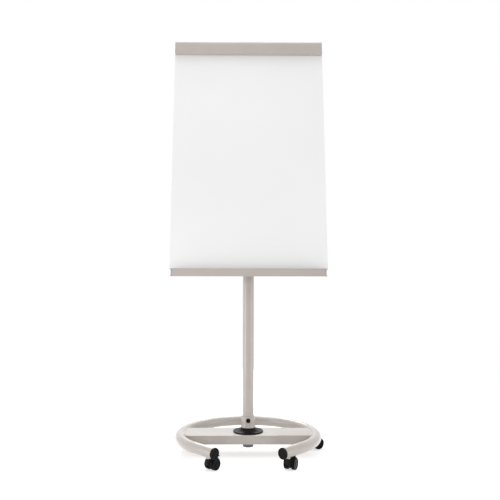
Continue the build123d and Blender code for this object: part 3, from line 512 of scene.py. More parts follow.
def choose_faces(piece, wanted):
    """Selects the faces that pass a test, in face mode, and opens the mesh for editing."""
    look_only_at(piece)
    bpy.context.tool_settings.mesh_select_mode = (False, False, True)
    for part in list(piece.data.vertices) + list(piece.data.edges):
        part.select = False
    for face in piece.data.polygons:
        face.select = wanted(face)
    bpy.ops.object.mode_set(mode="EDIT")


def choose_corners(piece, wanted):
    """Selects the corners that pass a test, and what lies between them, and opens the mesh."""
    look_only_at(piece)
    bpy.context.tool_settings.mesh_select_mode = (True, False, False)
    corners = piece.data.vertices
    for corner in corners:
        corner.select = wanted(corner.co)
    for part in list(piece.data.edges) + list(piece.data.polygons):
        part.select = all(corners[i].select for i in part.vertices)
    bpy.ops.object.mode_set(mode="EDIT")


def close_mesh():
    """Leaves the mesh again, with corners as what is selected next."""
    bpy.ops.mesh.select_mode(type="VERT")
    bpy.ops.object.mode_set(mode="OBJECT")


def open_all(piece):
    """Opens the mesh of one piece with everything selected."""
    look_only_at(piece)
    bpy.ops.object.mode_set(mode="EDIT")
    bpy.ops.mesh.select_all(action="SELECT")


def close_outwards():
    """Turns the whole skin outwards and leaves the mesh."""
    bpy.ops.mesh.select_all(action="SELECT")
    bpy.ops.mesh.normals_make_consistent(inside=False)
    bpy.ops.object.mode_set(mode="OBJECT")


print("ready: choosing a piece, its faces and its corners")

# %% [markdown]
# ## Outlines
#
# An outline could be a curve, but edges that are extruded point by point become a mesh
# with exactly the corners that were asked for. Real profiles have small radii at their
# corners, so one function rounds them, and another gives the points of a plain arc.

# %% Outlines
def draw(name, points, closed=False, filled=False):
    """Draws edges from point to point by extruding one corner."""
    bpy.ops.object.select_all(action="DESELECT")
    bpy.ops.mesh.primitive_plane_add(size=MM)
    piece = bpy.context.active_object
    piece.name = name
    piece.data.name = name
    bpy.ops.object.mode_set(mode="EDIT")
    bpy.ops.mesh.merge(type="CENTER")
    bpy.ops.transform.translate(value=points[0])
    run = list(points) + ([points[0]] if closed else [])
    for here, there in zip(run, run[1:]):
        step = Vector(there) - Vector(here)
        bpy.ops.mesh.extrude_region_move(TRANSFORM_OT_translate={"value": step})
    bpy.ops.mesh.select_all(action="SELECT")
    if closed:
        bpy.ops.mesh.remove_doubles(threshold=MM / 50)
    if filled:
        bpy.ops.mesh.edge_face_add()
    bpy.ops.object.mode_set(mode="OBJECT")
    return piece


def rounded(points, radii, steps=5):
    """An outline with its corners rounded; a radius of zero keeps a corner sharp."""
    line = []
    count = len(points)
    for i, radius in enumerate(radii):
        corner = Vector(points[i])
        if not radius:
            line.append(tuple(corner))
            continue
        back = (Vector(points[i - 1]) - corner).normalized()
        ahead = (Vector(points[(i + 1) % count]) - corner).normalized()
        half = back.angle(ahead) / 2
        centre = corner + (back + ahead).normalized() * radius / sin(half)
        first = corner + back * radius / (sin(half) / cos(half)) - centre
        last = corner + ahead * radius / (sin(half) / cos(half)) - centre
        for j in range(steps + 1):
            share = j / steps
            spoke = first.slerp(last, share) if first.length > 0 else first
            line.append(tuple(centre + spoke.normalized() * radius))
    return line


def arc(centre, radius, first, last, steps):
    """Points on an arc between two angles in degrees."""
    turns = [radians(first + (last - first) * i / steps) for i in range(steps + 1)]
    return [(centre[0] + radius * cos(t), centre[1] + radius * sin(t)) for t in turns]


print("a quarter of an arc has", len(arc((0, 0), 1, 0, 90, 5)), "points")

# %% [markdown]
# ## From an outline to a piece
#
# A closed outline is pushed into a bar or spun into a turned part, and an open one is
# pushed and then given its wall. The bevel and the wall are modifiers, which are applied
# at once, so that every finished piece is a plain mesh.

# %% From an outline to a piece
def push(piece, step):
    """Extrudes everything that is drawn by one step, and turns the skin outwards."""
    open_all(piece)
    bpy.ops.mesh.extrude_region_move(TRANSFORM_OT_translate={"value": step})
    close_outwards()
    return piece


def turn(piece, angle=2 * pi, steps=64):
    """Spins everything that is drawn round the Z axis, left about, and closes the seam."""
    open_all(piece)
    bpy.ops.mesh.spin(steps=steps, angle=-angle, center=(0, 0, 0), axis=(0, 0, 1))
    bpy.ops.mesh.select_all(action="SELECT")
    bpy.ops.mesh.remove_doubles(threshold=MM / 50)
    close_outwards()
    return piece


def modify(piece, kind, **settings):
    """Adds one modifier with its settings, and applies it."""
    look_only_at(piece)
    change = piece.modifiers.new(kind.lower(), kind)
    for name, value in settings.items():
        setattr(change, name, value)
    bpy.ops.object.modifier_apply(modifier=change.name)
    return piece


def smooth(piece, sharp=40):
    """Shades a piece smooth, apart from edges that are sharper than an angle."""
    look_only_at(piece)
    bpy.ops.object.shade_smooth_by_angle(angle=radians(sharp))
    return piece


def ease(piece, width, segments=2, corner=30):
    """Rounds every edge that is sharper than a corner angle, then smooths the faces."""
    sharp = {"limit_method": "ANGLE", "angle_limit": radians(corner)}
    return smooth(modify(piece, "BEVEL", width=width, segments=segments, **sharp))


def thicken(piece, wall):
    """Gives a drawn sheet its wall, on the inner side."""
    return modify(piece, "SOLIDIFY", thickness=wall, offset=-1, use_even_offset=True)


def turned(name, profile, steps=64):
    """A turned piece round Z, from a closed outline of radius and height in millimetres."""
    piece = draw(name, [(r * MM, 0, z * MM) for r, z in profile], closed=True)
    return turn(piece, steps=steps)


print("ready: pushing, turning, walls and soft edges")

# %% [markdown]
# ## Rods, bars and cuts
#
# Recesses are cut with a plain rod or bar, as a drill or a mill would do it. A cut could
# be drawn into the outline of a piece, but not where it comes in from the side.

# %% Rods, bars and cuts
def discard(*pieces):
    """Throws away what was only a pattern or a cutter."""
    for piece in pieces:
        bpy.data.objects.remove(piece, do_unlink=True)


def rod(radius, length, place, facing=(0, 0, 0), corners=48):
    """A plain rod, in millimetres."""
    bpy.ops.object.select_all(action="DESELECT")
    bpy.ops.mesh.primitive_cylinder_add(
        vertices=corners,
        radius=radius * MM,
        depth=length * MM,
        location=[v * MM for v in place],
        rotation=facing,
    )
    return bpy.context.active_object


def bar(lengths, place, heading):
    """A plain bar, in millimetres, turned about Z."""
    bpy.ops.object.select_all(action="DESELECT")
    place = [v * MM for v in place]
    bpy.ops.mesh.primitive_cube_add(
        size=MM, location=place, rotation=(0, 0, heading), scale=lengths
    )
    return bpy.context.active_object


def carve(piece, cutter, operation="DIFFERENCE"):
    """Cuts one piece with another, which is then thrown away."""
    modify(piece, "BOOLEAN", operation=operation, object=cutter, solver="EXACT")
    discard(cutter)
    return piece


print("ready: rods, bars and cuts")

# %% [markdown]
# ## Copies in their places
#
# What repeats is made once, round the origin, and each copy is then moved to its place.
# The place is written into the mesh, so that a finished piece stands at the origin,
# unturned, as the model's own pieces do.

# %% Copies in their places
def settle(piece, place=None):
    """Moves a piece to its place and writes that place into its mesh."""
    look_only_at(piece)
    if place is not None:
        piece.matrix_world = place
    bpy.ops.object.transform_apply(location=True, rotation=True, scale=True)
    return piece


def frame_at(origin, across, up, out):
    """The place of a piece that was made round the origin, with its own Z pointing out."""
    place = Matrix.Identity(4)
    for column, direction in enumerate((across, up, out, origin)):
        for row in range(3):
            place[row][column] = direction[row]
    return place


def copy_of(piece, name):
    """A second piece with a mesh of its own."""
    twin = piece.copy()
    twin.data = piece.data.copy()
    twin.name = name
    twin.data.name = name
    scene.collection.objects.link(twin)
    return twin


def join(pieces, name):
    """Joins pieces that are one moulding or one set."""
    bpy.ops.object.select_all(action="DESELECT")
    for piece in pieces:
        piece.select_set(True)
    bpy.context.view_layer.objects.active = pieces[0]
    if len(pieces) > 1:
        bpy.ops.object.join()
    whole = bpy.context.active_object
    whole.name = name
    whole.data.name = name
    return whole


def set_copies(piece, name, places):
    """Joined copies of one piece at several places; the first one is thrown away."""
    copies = [settle(copy_of(piece, name + "_part"), place) for place in places]
    discard(piece)
    return join(copies, name)


print("ready: copies and their places")

# %% [markdown]
# ## Taking a place in the model
#
# A finished piece moves with the body of the piece that it stands for, wears its finish
# and hides it. The box of both is compared in millimetres, because that is the quickest
# way to see that a piece was drawn in the wrong place.

# %% Taking a place in the model
def fit(piece, node_name):
    """Lets a piece ride with a node's body, wear its finish and take its place."""
    slot = slot_of[node_name]
    piece.data.materials.clear()
    piece.data.materials.append(finishes[slot])
    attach(piece, body_of_node[node_name])
    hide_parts(node_name)
    low = [min(v.co[i] for v in piece.data.vertices) for i in range(3)]
    high = [max(v.co[i] for v in piece.data.vertices) for i in range(3)]
    true_low, true_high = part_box(node_name)
    off = [round((a - b) / MM, 1) for a, b in zip(low + high, [*true_low, *true_high])]
    print("made", piece.name, "with", len(piece.data.polygons), "faces, off by", off)
    return piece


print("bodies that pieces may ride with:", len(set(body_of_node.values())))

# %% [markdown]
# ## Sizes of the base
#
# The base is a tube bent into a ring that is open at the front. Its two ends leave the
# bend and run on straight. A size that a piece has in the model is read from the model's
# own box rather than written down again, so the two can't drift apart. What a box doesn't
# tell is written here: the tube, where the bend ends, and how far the straight ends go.

# %% Sizes of the base
def span(node_name):
    """Half width, foot and top of one of the model's pieces, in millimetres."""
    low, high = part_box(node_name)
    return [round(v / MM, 1) for v in (high[0], low[2], high[2])]


TUBE_RADIUS = 24 * MM
TUBE_WALL = 2 * MM
RING_HEIGHT = span("base_ring")[1] * MM + TUBE_RADIUS
RING_RADIUS = round(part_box("base_ring")[1][1], 4) - TUBE_RADIUS
BEND_END = radians(48)
STRAIGHT = 128 * MM


def ring_point(angle, height=RING_HEIGHT, radius=RING_RADIUS):
    """A point on the ring's middle line, by its angle from the front."""
    return Vector((radius * sin(angle), -radius * cos(angle), height))


def way_out(side):
    """The direction in which one straight end of the tube runs."""
    return Vector((-side * cos(BEND_END), -sin(BEND_END), 0))


def hoop(radius, corners, angle, *where):
    """A circle that stands across the ring at an angle, ready to be spun along it."""
    bpy.ops.object.select_all(action="DESELECT")
    bpy.ops.mesh.primitive_circle_add(
        vertices=corners,
        radius=radius,
        location=ring_point(angle, *where),
        rotation=(pi / 2, 0, angle + pi / 2),
    )
    return settle(bpy.context.active_object)


# %% [markdown]
# ## The ring
#
# The real ring is round steel tube, rolled in a bender. It could be a curve with a round
# bevel, but a spun circle gives the same even quads and an exact radius. The open ends of
# the spun tube are then drawn out straight, and the skin gets its two millimetre wall.

# %% Ring tube
ring = turn(hoop(TUBE_RADIUS, 48, BEND_END), 2 * pi - 2 * BEND_END, 132)
ring.name = "ring_tube"
for side in (-1, 1):
    bend = ring_point(side * BEND_END, 0)
    out = way_out(side)
    choose_corners(ring, lambda spot: spot.x * side > 0 and (spot - bend).dot(out) > -0.1 * MM)
    bpy.ops.mesh.extrude_region_move(TRANSFORM_OT_translate={"value": out * STRAIGHT})
    bpy.ops.mesh.select_all(action="SELECT")
    bpy.ops.mesh.normals_make_consistent(inside=False)
    close_mesh()
fit(ease(thicken(ring, TUBE_WALL), 0.4 * MM), "base_ring")

# %% [markdown]
# ## Caps in the ends of the ring
#
# Each end of the ring has a black moulded cap with a raised rim, a hub and a cross of ribs,
# as hollow plastic caps do. The rim and the hub are turned from one outline, and the ribs
# are short rounded bars between them. One cap is made, and both ends get a copy.

# %% End caps
RIB_SIZE = (16.2, 2.6, 2.1)
RIB_PLACE = 12.1
RIB_HEIGHT = 2.35
cap_corners = [(0, 1.4), (19.8, 1.4), (19.8, 3.6), (21.2, 4.1), (24.8, 4.1), (24.8, 0.1), (0, 0.1)]
cap_radii = [0, 0.7, 0.5, 0.5, 2.2, 0.4, 0]
cap = turned("cap", rounded(cap_corners, cap_radii, 4), 72)
hub_outline = rounded([(0, 1.3), (5.6, 1.3), (4.6, 3.7), (0, 3.7)], [0, 0, 0.6, 0], 4)
cap_parts = [cap, turned("cap_hub", hub_outline, 32)]
for quarter in range(4):
    heading = pi / 4 + quarter * pi / 2
    place = (RIB_PLACE * cos(heading), RIB_PLACE * sin(heading), RIB_HEIGHT)
    cap_parts.append(ease(settle(bar(RIB_SIZE, place, heading)), 0.5 * MM))
cap_places = []
for side in (-1, 1):
    out = way_out(side)
    tip = ring_point(side * BEND_END) + out * STRAIGHT
    across = Vector((sin(BEND_END), -side * cos(BEND_END), 0))
    cap_places.append(frame_at(tip, across, (0, 0, 1), out))
fit(set_copies(join(cap_parts, "cap"), "end_caps", cap_places), "ring_end_caps")

# %% [markdown]
# ## Crossbar
#
# A folded steel channel lies across the ring and carries the column. It could be a box
# with rounded edges, but a real fold has an even radius and a thin wall, so the section is
# drawn as a line with two rounded corners, pushed along, and then thickened. Its ends are
# cut to follow the round of the tube, a hair short of it, which is the gap that is welded.

# %% Crossbar
CROSSBAR_FOOT, CROSSBAR_TOP = span("crossbar")[1:]
CROSSBAR_HALF = 75
CROSSBAR_SHEET = 3
FOLD = 5
WELD_GAP = 0.8 * MM


def reach_to_ring(y, z):
    """How far a point of the crossbar's end may go along X before it meets the tube."""
    tube_half = sqrt(TUBE_RADIUS**2 - (z - RING_HEIGHT) ** 2)
    return sqrt((RING_RADIUS - tube_half - WELD_GAP) ** 2 - y**2)


fold_z = CROSSBAR_TOP - FOLD
flange_heights = [CROSSBAR_FOOT + 4 * i for i in range(9)] + [fold_z - 0.6]
near_side = [(-CROSSBAR_HALF, z) for z in flange_heights]
near_fold = arc((-CROSSBAR_HALF + FOLD, fold_z), FOLD, 180, 90, 6)
flat_plate = [(-60 + 10 * i, CROSSBAR_TOP) for i in range(13)]
far_fold = arc((CROSSBAR_HALF - FOLD, fold_z), FOLD, 90, 0, 6)
far_side = [(CROSSBAR_HALF, z) for z in reversed(flange_heights)]
section = near_side + near_fold + flat_plate + far_fold + far_side
rough_half = RING_RADIUS
crossbar = draw("crossbar_channel", [(-rough_half, y * MM, z * MM) for y, z in section])
push(crossbar, (2 * rough_half, 0, 0))
for vertex in crossbar.data.vertices:
    reach = reach_to_ring(vertex.co.y, vertex.co.z)
    vertex.co.x = reach if vertex.co.x > 0 else -reach
thicken(crossbar, CROSSBAR_SHEET * MM)
ease(crossbar, 0.5 * MM)

# %% [markdown]
# ## Weld beads
#
# The plate is welded to the ring along its top. A bead is a thin roll of metal that was
# laid down drop by drop, so it is spun as a thin rod along the ring's own curve and then
# swollen and thinned by two waves, which gives the ripple of the drops.

# %% Weld beads
BEAD_ARC = radians(13.6)
BEAD_RADIUS = 3.1 * MM
BEAD_LINE = (96.9 * MM, 292 * MM)
welded = [crossbar]
for side in (-1, 1):
    bead = turn(hoop(BEAD_RADIUS, 12, side * pi / 2 - BEAD_ARC, *BEAD_LINE), 2 * BEAD_ARC, 180)
    for vertex in bead.data.vertices:
        along = atan2(vertex.co.x, -vertex.co.y)
        middle = ring_point(along, *BEAD_LINE)
        swell = 1 + 0.09 * cos(along * 540) + 0.05 * cos(along * 171)
        vertex.co = middle + (vertex.co - middle) * swell
    open_all(bead)
    bpy.ops.mesh.fill_holes(sides=20)
    close_outwards()
    welded.append(smooth(bead, 50))
fit(join(welded, "crossbar_channel"), "crossbar")

# %% [markdown]
# ## Disc
#
# A black dished disc spreads the load of the column. It is a turned part, so it is spun
# from half an outline, with one arc for its dish and a small one for its lip.

# %% Disc
BOLT_HOLE = 8.3
DISC_FOOT = CROSSBAR_TOP + 0.1
DISC_TOP = span("base_disc")[2]
dish = arc((58, 132.06), 29.56, 270, 208.4, 10)
disc_outline = [(BOLT_HOLE, DISC_FOOT), (67.7, DISC_FOOT)]
disc_outline += arc((66, 102), 2, 0, 90, 5) + [(62, 104)] + dish
disc_outline += [(32, DISC_TOP), (BOLT_HOLE, DISC_TOP)]
disc = ease(turned("foot_disc", disc_outline, 96), 0.4 * MM, corner=50)
fit(disc, "base_disc")

# %% [markdown]
# ## Socket
#
# A flared steel socket stands on the disc and holds the column. It is turned as well. A
# flat seat is milled into its front for a screw, and that flat is cut with a short rod,
# because it comes in from the side, where no outline can show it.

# %% Socket
COLUMN_RADIUS, COLUMN_FOOT, COLUMN_TOP = span("column_tube")
SOCKET_TOP = span("column_socket")[2]
SOCKET_RADIUS = 30
SEAT_RADIUS = 10.75
SEAT_Y = -sqrt(SOCKET_RADIUS**2 - SEAT_RADIUS**2)
SCREW_Z = 153
bore = COLUMN_RADIUS + 0.1
flare = arc((50, 135), 20, 180, 216.87, 10)
socket_outline = [(8.1, DISC_TOP), (8.1, COLUMN_FOOT), (bore, COLUMN_FOOT), (bore, SOCKET_TOP)]
socket_outline += [(25.5, SOCKET_TOP), (26.4, 171.6), (29.6, 168.4), (SOCKET_RADIUS, 167.4)]
socket_outline += flare + [(34, DISC_TOP)]
socket = turned("flared_socket", socket_outline, 96)
cut_middle = (0, SEAT_Y - SOCKET_RADIUS / 2, SCREW_Z)
carve(socket, rod(SEAT_RADIUS, SOCKET_RADIUS, cut_middle, (pi / 2, 0, 0)))
fit(ease(socket, 0.5 * MM, corner=40), "column_socket")

# %% [markdown]
# ## Button head screw
#
# The screw in that seat has a low domed head with a six-sided recess. The dome could be
# part of a sphere, but a rounded outline gives it its flat crown. The recess is cut with a
# rod that has six corners.

# %% Button head screw
screw_outline = [(0, -8), (4, -8), (4, 0.1), (9.75, 0.1)]
screw_outline += rounded([(9.75, 0.1), (9.75, 5.6), (0, 5.6)], [0, 3.4, 0], 6)[1:]
button = turned("socket_button", screw_outline, 48)
carve(button, rod(3 / cos(pi / 6), 6, (0, 0, 5.8), corners=6))
ease(button, 0.25 * MM, corner=50)
settle(button, frame_at((0, SEAT_Y * MM, SCREW_Z * MM), (1, 0, 0), (0, 0, 1), (0, -1, 0)))
fit(button, "socket_screw")

# %% [markdown]
# ## Column
#
# The outer tube of the column is plain, so what sells it is its thin rim at the top and a
# clean round surface. The washer lies under the crossbar and is turned in the same way.

# %% Column tube and washer
STEEL_WALL = 2


def tube_section(radius, foot, top):
    """The corners of a tube's wall, as radius and height."""
    inside = radius - STEEL_WALL
    return [(radius, foot), (radius, top), (inside, top), (inside, foot)]


tube_line = rounded(tube_section(COLUMN_RADIUS, COLUMN_FOOT, COLUMN_TOP), [0, 0.6, 0.6, 0], 3)
fit(smooth(turned("column_outer_tube", tube_line, 96)), "column_tube")
washer_radius, foot, top = span("foot_washer")
washer_corners = [(BOLT_HOLE, foot), (washer_radius, foot), (washer_radius, top), (BOLT_HOLE, top)]
washer = turned("nut_washer", rounded(washer_corners, [0.3, 0.6, 0.6, 0.3], 3), 64)
fit(smooth(washer), "foot_washer")

# %% [markdown]
# ## Hand nut
#
# A ribbed nut under the crossbar holds the column down, and is turned by hand. The ribs
# could be copies of one rib, but a wave on the radius gives them all in one outline, which
# is pushed to its height. The hub inside them is a turned part.

# %% Hand nut
NUT_RIBS = 16
NUT_POINTS = 10 * NUT_RIBS
NUT_RIB = 1.7
NUT_HEIGHT = 21
NUT_RADIUS, NUT_FOOT, NUT_TOP = span("foot_hand_nut")
nut_outline = []
for i in range(NUT_POINTS):
    angle = 2 * pi * i / NUT_POINTS
    wave = sqrt(0.5 + 0.5 * cos(NUT_RIBS * angle))
    reach = (NUT_RADIUS - NUT_RIB + NUT_RIB * wave) * MM
    nut_outline.append((reach * cos(angle), reach * sin(angle), NUT_FOOT * MM))
nut = draw("ribbed_hand_nut", nut_outline, closed=True, filled=True)
push(nut, (0, 0, NUT_HEIGHT * MM))
ease(nut, 1.2 * MM, 3, corner=60)
neck_top = NUT_TOP - 0.1
hub_corners = [(8.1, 45), (20.5, 45), (20.5, 53), (14, 56), (14, neck_top), (8.1, neck_top)]
nut_hub = smooth(turned("nut_hub", rounded(hub_corners, [0, 0, 1.5, 2, 0.8, 0], 4), 64))
fit(join([nut, nut_hub], "ribbed_hand_nut"), "foot_hand_nut")

# %% [markdown]
# ## Directions of the board
#
# The board leans back. All its pieces are placed with three numbers: along the width, up
# the face, and out of the face.

# %% Directions of the board
LEAN = radians(14.8)
BOARD_ORIGIN = Vector((0, -104, 840)) * MM
BOARD_HALF = span("board_face")[0]
BOARD_FOOT = -5
BOARD_TOP = 1095
BOARD_THICKNESS = 15
UP_FACE = Vector((0, sin(LEAN), cos(LEAN)))
OUT_OF_FACE = Vector((0, -cos(LEAN), sin(LEAN)))


def board_point(x, s, n):
    """A point by millimetres across the board, up its face and out of it."""
    return BOARD_ORIGIN + Vector((x * MM, 0, 0)) + UP_FACE * (s * MM) + OUT_OF_FACE * (n * MM)


def drawn_profile(name, outline, half_length, closed=True, wall=0, middle=0):
    """A profile of the board's section, from points out of the face and up it."""
    points = [board_point(middle - half_length, s, n) for n, s in outline]
    piece = draw(name, points, closed=closed, filled=closed)
    push(piece, (2 * half_length * MM, 0, 0))
    if wall:
        thicken(piece, wall * MM)
    return piece


print("the top of the board is at", [round(v, 3) for v in board_point(0, BOARD_TOP, 0)])

# %% [markdown]
# ## Writing panel
#
# The writing face is a sheet steel pan: a flat front whose edges are folded back round the
# core. The folds are tight but not sharp, and that soft line round the edge is what the
# light picks out. A block would do for a distant view, but the pan has a real rim and a
# hollow back, which the core and the back sheet close.

# %% Pan
def pressed_pan(name, corners, corner_radius, level, depth, fold, wall):
    """A folded sheet pan, from its outline on the board; its open side is where depth goes."""
    line = rounded(corners, [corner_radius] * 4, 5)
    pan = draw(name, [board_point(x, s, level) for x, s in line], True, True)
    push(pan, OUT_OF_FACE * depth * MM)
    way = 1 if depth > 0 else -1
    choose_faces(pan, lambda face: face.normal.dot(OUT_OF_FACE) * way > 0.9)
    bpy.ops.mesh.delete(type="FACE")
    close_mesh()
    return smooth(thicken(ease(pan, fold * MM, 4, corner=45), wall * MM))


pan_corners = [(-BOARD_HALF, BOARD_FOOT), (BOARD_HALF, BOARD_FOOT)]
pan_corners += [(BOARD_HALF, BOARD_TOP), (-BOARD_HALF, BOARD_TOP)]
fit(pressed_pan("writing_pan", pan_corners, 2.5, 0, -BOARD_THICKNESS, 1.3, 0.8), "board_face")

# %% [markdown]
# ## Stiffening rails
#
# Two pressed rails run up the back of the board and keep it flat. A rail is a shallow pan
# too, and open towards the board, so the same function makes it.

# %% Stiffening rails
RAIL_HALF = 15
RAIL_PLACE = span("stiffener_rails")[0] - RAIL_HALF
RAIL_FOOT = 90
RAIL_TOP = 987
RAIL_BACK = -29
RAIL_DEPTH = 13.9
rails = []
for side in (-1, 1):
    left, right = side * RAIL_PLACE - RAIL_HALF, side * RAIL_PLACE + RAIL_HALF
    rail_corners = [(left, RAIL_FOOT), (right, RAIL_FOOT), (right, RAIL_TOP), (left, RAIL_TOP)]
    rails.append(pressed_pan("rail", rail_corners, 3, RAIL_BACK, RAIL_DEPTH, 2.8, 1.5))
fit(join(rails, "pressed_rails"), "stiffener_rails")

# %% [markdown]
# ## Pen tray
#
# The tray is an extrusion that hangs under the board. It has a bead along the top and the
# bottom of its front wall, a floor that is level although the board leans, a shelf under
# the board's foot and a wall that rises behind the board, where the screws hold it. The
# whole section is drawn once with small radii, and pushed along the width in one go, as
# the die does it.

# %% Pen tray
TRAY_FRONT = 40.2
TRAY_BACK = -17.1
TRAY_FOOT = -43.5
TRAY_TOP = -8.2
TRAY_HALF = span("pen_tray")[0]
TRAY_WALL = 2
BEAD = 2.5
SHELF = -5.1
INSIDE_FRONT = TRAY_FRONT - TRAY_WALL
INSIDE_BACK = TRAY_BACK + TRAY_WALL


def tray_floor(n):
    """Height of the underside of the tray's floor, this far out of the face."""
    return TRAY_FOOT + (TRAY_FRONT - n) * sin(LEAN) / cos(LEAN)


def inside_floor(n):
    """Height of the tray's floor where the pens lie."""
    return tray_floor(n) + TRAY_WALL


tray_corners = [(TRAY_BACK, tray_floor(TRAY_BACK)), (TRAY_FRONT, TRAY_FOOT)]
tray_corners += [(TRAY_FRONT + TRAY_WALL, TRAY_FOOT), (TRAY_FRONT + TRAY_WALL, TRAY_FOOT + BEAD)]
tray_corners += [(TRAY_FRONT, TRAY_FOOT + BEAD), (TRAY_FRONT, TRAY_TOP - BEAD)]
tray_corners += [(TRAY_FRONT + TRAY_WALL, TRAY_TOP - BEAD), (TRAY_FRONT + TRAY_WALL, TRAY_TOP)]
tray_corners += [(INSIDE_FRONT, TRAY_TOP), (INSIDE_FRONT, inside_floor(INSIDE_FRONT))]
tray_corners += [(INSIDE_BACK, inside_floor(INSIDE_BACK)), (INSIDE_BACK, SHELF - TRAY_WALL)]
tray_corners += [(2.1, SHELF - TRAY_WALL), (2.1, -2), (0.1, -2), (0.1, SHELF)]
tray_corners += [(INSIDE_BACK, SHELF), (INSIDE_BACK, 22), (TRAY_BACK, 22)]
tray_radii = [2, 0, 1.1, 1.1, 0.5, 0.5, 0.8, 1.1, 1.1, 1.6, 1.6, 0.6, 0.8, 0.8, 0.6, 0, 0, 0.8, 0.8]
tray = drawn_profile("pen_tray_profile", rounded(tray_corners, tray_radii, 4), TRAY_HALF)
fit(ease(tray, 0.3 * MM, corner=50), "pen_tray")

# %% [markdown]
# ## Paper clamp
#
# The clamp is the same kind of extrusion, with a large round crown. Its wall is drawn as
# one line and then thickened. The leaf behind it rolls round the hinge pins.

# %% Clamp bar
CLAMP_FOOT = 1041.5
CLAMP_TOP = 1105.5
CLAMP_DEPTH = 26
CLAMP_HALF = span("clamp_bar")[0]
LEAF_HALF = 310
CROWN = 18
HINGE_N = -10.7
HINGE_S = 1101.2
BARREL = 4.3
cover_corners = [(1, CLAMP_FOOT), (CLAMP_DEPTH, CLAMP_FOOT)]
cover_corners += [(CLAMP_DEPTH, CLAMP_TOP), (-6.1, CLAMP_TOP)]
cover_outline = rounded(cover_corners, [0, 3, CROWN, 0], 12)
cover = drawn_profile("clamp_cover", cover_outline, CLAMP_HALF, closed=False, wall=2)
ease(cover, 0.4 * MM, corner=50)
leaf_corners = [(HINGE_N, CLAMP_TOP - 2), (-6, CLAMP_TOP - 2), (-6, CLAMP_TOP)]
leaf_corners += [(HINGE_N, CLAMP_TOP)]
leaf = ease(drawn_profile("leaf", leaf_corners, LEAF_HALF), 0.3 * MM)
roll = arc((HINGE_N, HINGE_S), BARREL, 0, 345, 23)
barrel = ease(drawn_profile("barrel", roll, LEAF_HALF), 0.3 * MM, corner=50)
fit(join([cover, leaf, barrel], "clamp_cover"), "clamp_bar")

# %% [markdown]
# ## Caps of the clamp
#
# A flat moulded cap closes each end of the clamp. Its outline is the cover's own, closed
# with two more corners on the side where the cover is open.

# %% Caps of the clamp
cap_corners = cover_corners + [(-6.1, 1097), (1, 1097)]
cap_line = rounded(cap_corners, [0.5, 3, CROWN, 0.8, 0.8, 0.5], 10)
CAP_HALF = 1.2
clamp_caps = []
for side in (-1, 1):
    cap_middle = side * (CLAMP_HALF + CAP_HALF + 0.05)
    clamp_cap = drawn_profile("cap", cap_line, CAP_HALF, middle=cap_middle)
    clamp_caps.append(ease(clamp_cap, 0.7 * MM, 3, corner=50))
fit(join(clamp_caps, "clamp_caps"), "clamp_end_caps")

# %% [markdown]
# ## Grip of the clamp
#
# A strip of soft black rubber lies along the lip of the clamp and holds the paper. It is
# an extrusion too, with a rounded nose, so it is drawn and pushed like the others.

# %% Grip
grip_corners = [(0.3, 1043.5), (15.8, 1043.5), (15.8, 1045.5), (2.8, 1045.5), (2.8, 1050.5)]
grip_corners += [(0.3, 1050.5)]
grip_line = rounded(grip_corners, [0.3, 0.4, 0.4, 0.8, 1.2, 0.8], 4)
grip = drawn_profile("paper_grip", grip_line, span("clamp_grip")[0])
fit(ease(grip, 0.3 * MM, corner=50), "clamp_grip")

# %% [markdown]
# ## Track and hinge
#
# Behind the clamp a slotted track is screwed along the top of the board. The pegs for the
# paper slide in it, and two lugs on its upper edge carry the hinge pins. The slot is part
# of the section, so it needs no cutting.

# %% Track
SLOT_S = 1075
slot = [(6, -4.3), (4.4, -4.3), (4.4, -7.5), (1.6, -7.5), (1.6, 7.5), (4.4, 7.5), (4.4, 4.3), (6, 4.3)]
track_corners = [(0, 1061), (6, 1061)] + [(n, SLOT_S + s) for n, s in slot]
track_corners += [(6, 1096.5), (-15, 1096.5), (-15, BOARD_TOP), (0, BOARD_TOP)]
track_radii = [0.4, 0.8] + [0.4] * 8 + [1, 0.5, 0.5, 0]
track_line = rounded(track_corners, track_radii, 3)
track = drawn_profile("peg_track", track_line, span("hinge_rail")[0])
track_parts = [ease(track, 0.3 * MM, corner=50)]
for side in (-1, 1):
    eye = arc((HINGE_N, HINGE_S), BARREL, -20, 200, 22)
    lug_line = eye + [(HINGE_N - BARREL, 1096), (HINGE_N + BARREL, 1096)]
    lug = drawn_profile("lug", lug_line, 6.8, middle=side * 317.1)
    track_parts.append(ease(lug, 0.5 * MM, corner=50))
fit(join(track_parts, "peg_track"), "hinge_rail")

# %% [markdown]
# ## Hinge pins
#
# The clamp turns on two short steel pins that reach out through the lugs. One pin is
# turned, and a copy of it is set at each end of the hinge.

# %% Hinge pins
PIN_PLACE = 288.3
pin = turned("pin", rounded([(0, 0), (2.5, 0), (2.5, 36), (0, 36)], [0, 0.8, 0.8, 0], 4), 32)
pin_places = []
for side in (-1, 1):
    spot = board_point(side * PIN_PLACE, HINGE_S, HINGE_N)
    out = Vector((side, 0, 0))
    pin_places.append(frame_at(spot, UP_FACE.cross(out), UP_FACE, out))
fit(set_copies(smooth(pin), "hinge_pin_pair", pin_places), "hinge_pins")

# %% [markdown]
# ## Screws
#
# The screws have a low domed head with a cross recess. One screw is turned and its recess
# cut with two crossed wedges. The copies are set at the places that the model gives, each
# turned a little differently, as screws are when somebody has driven them.

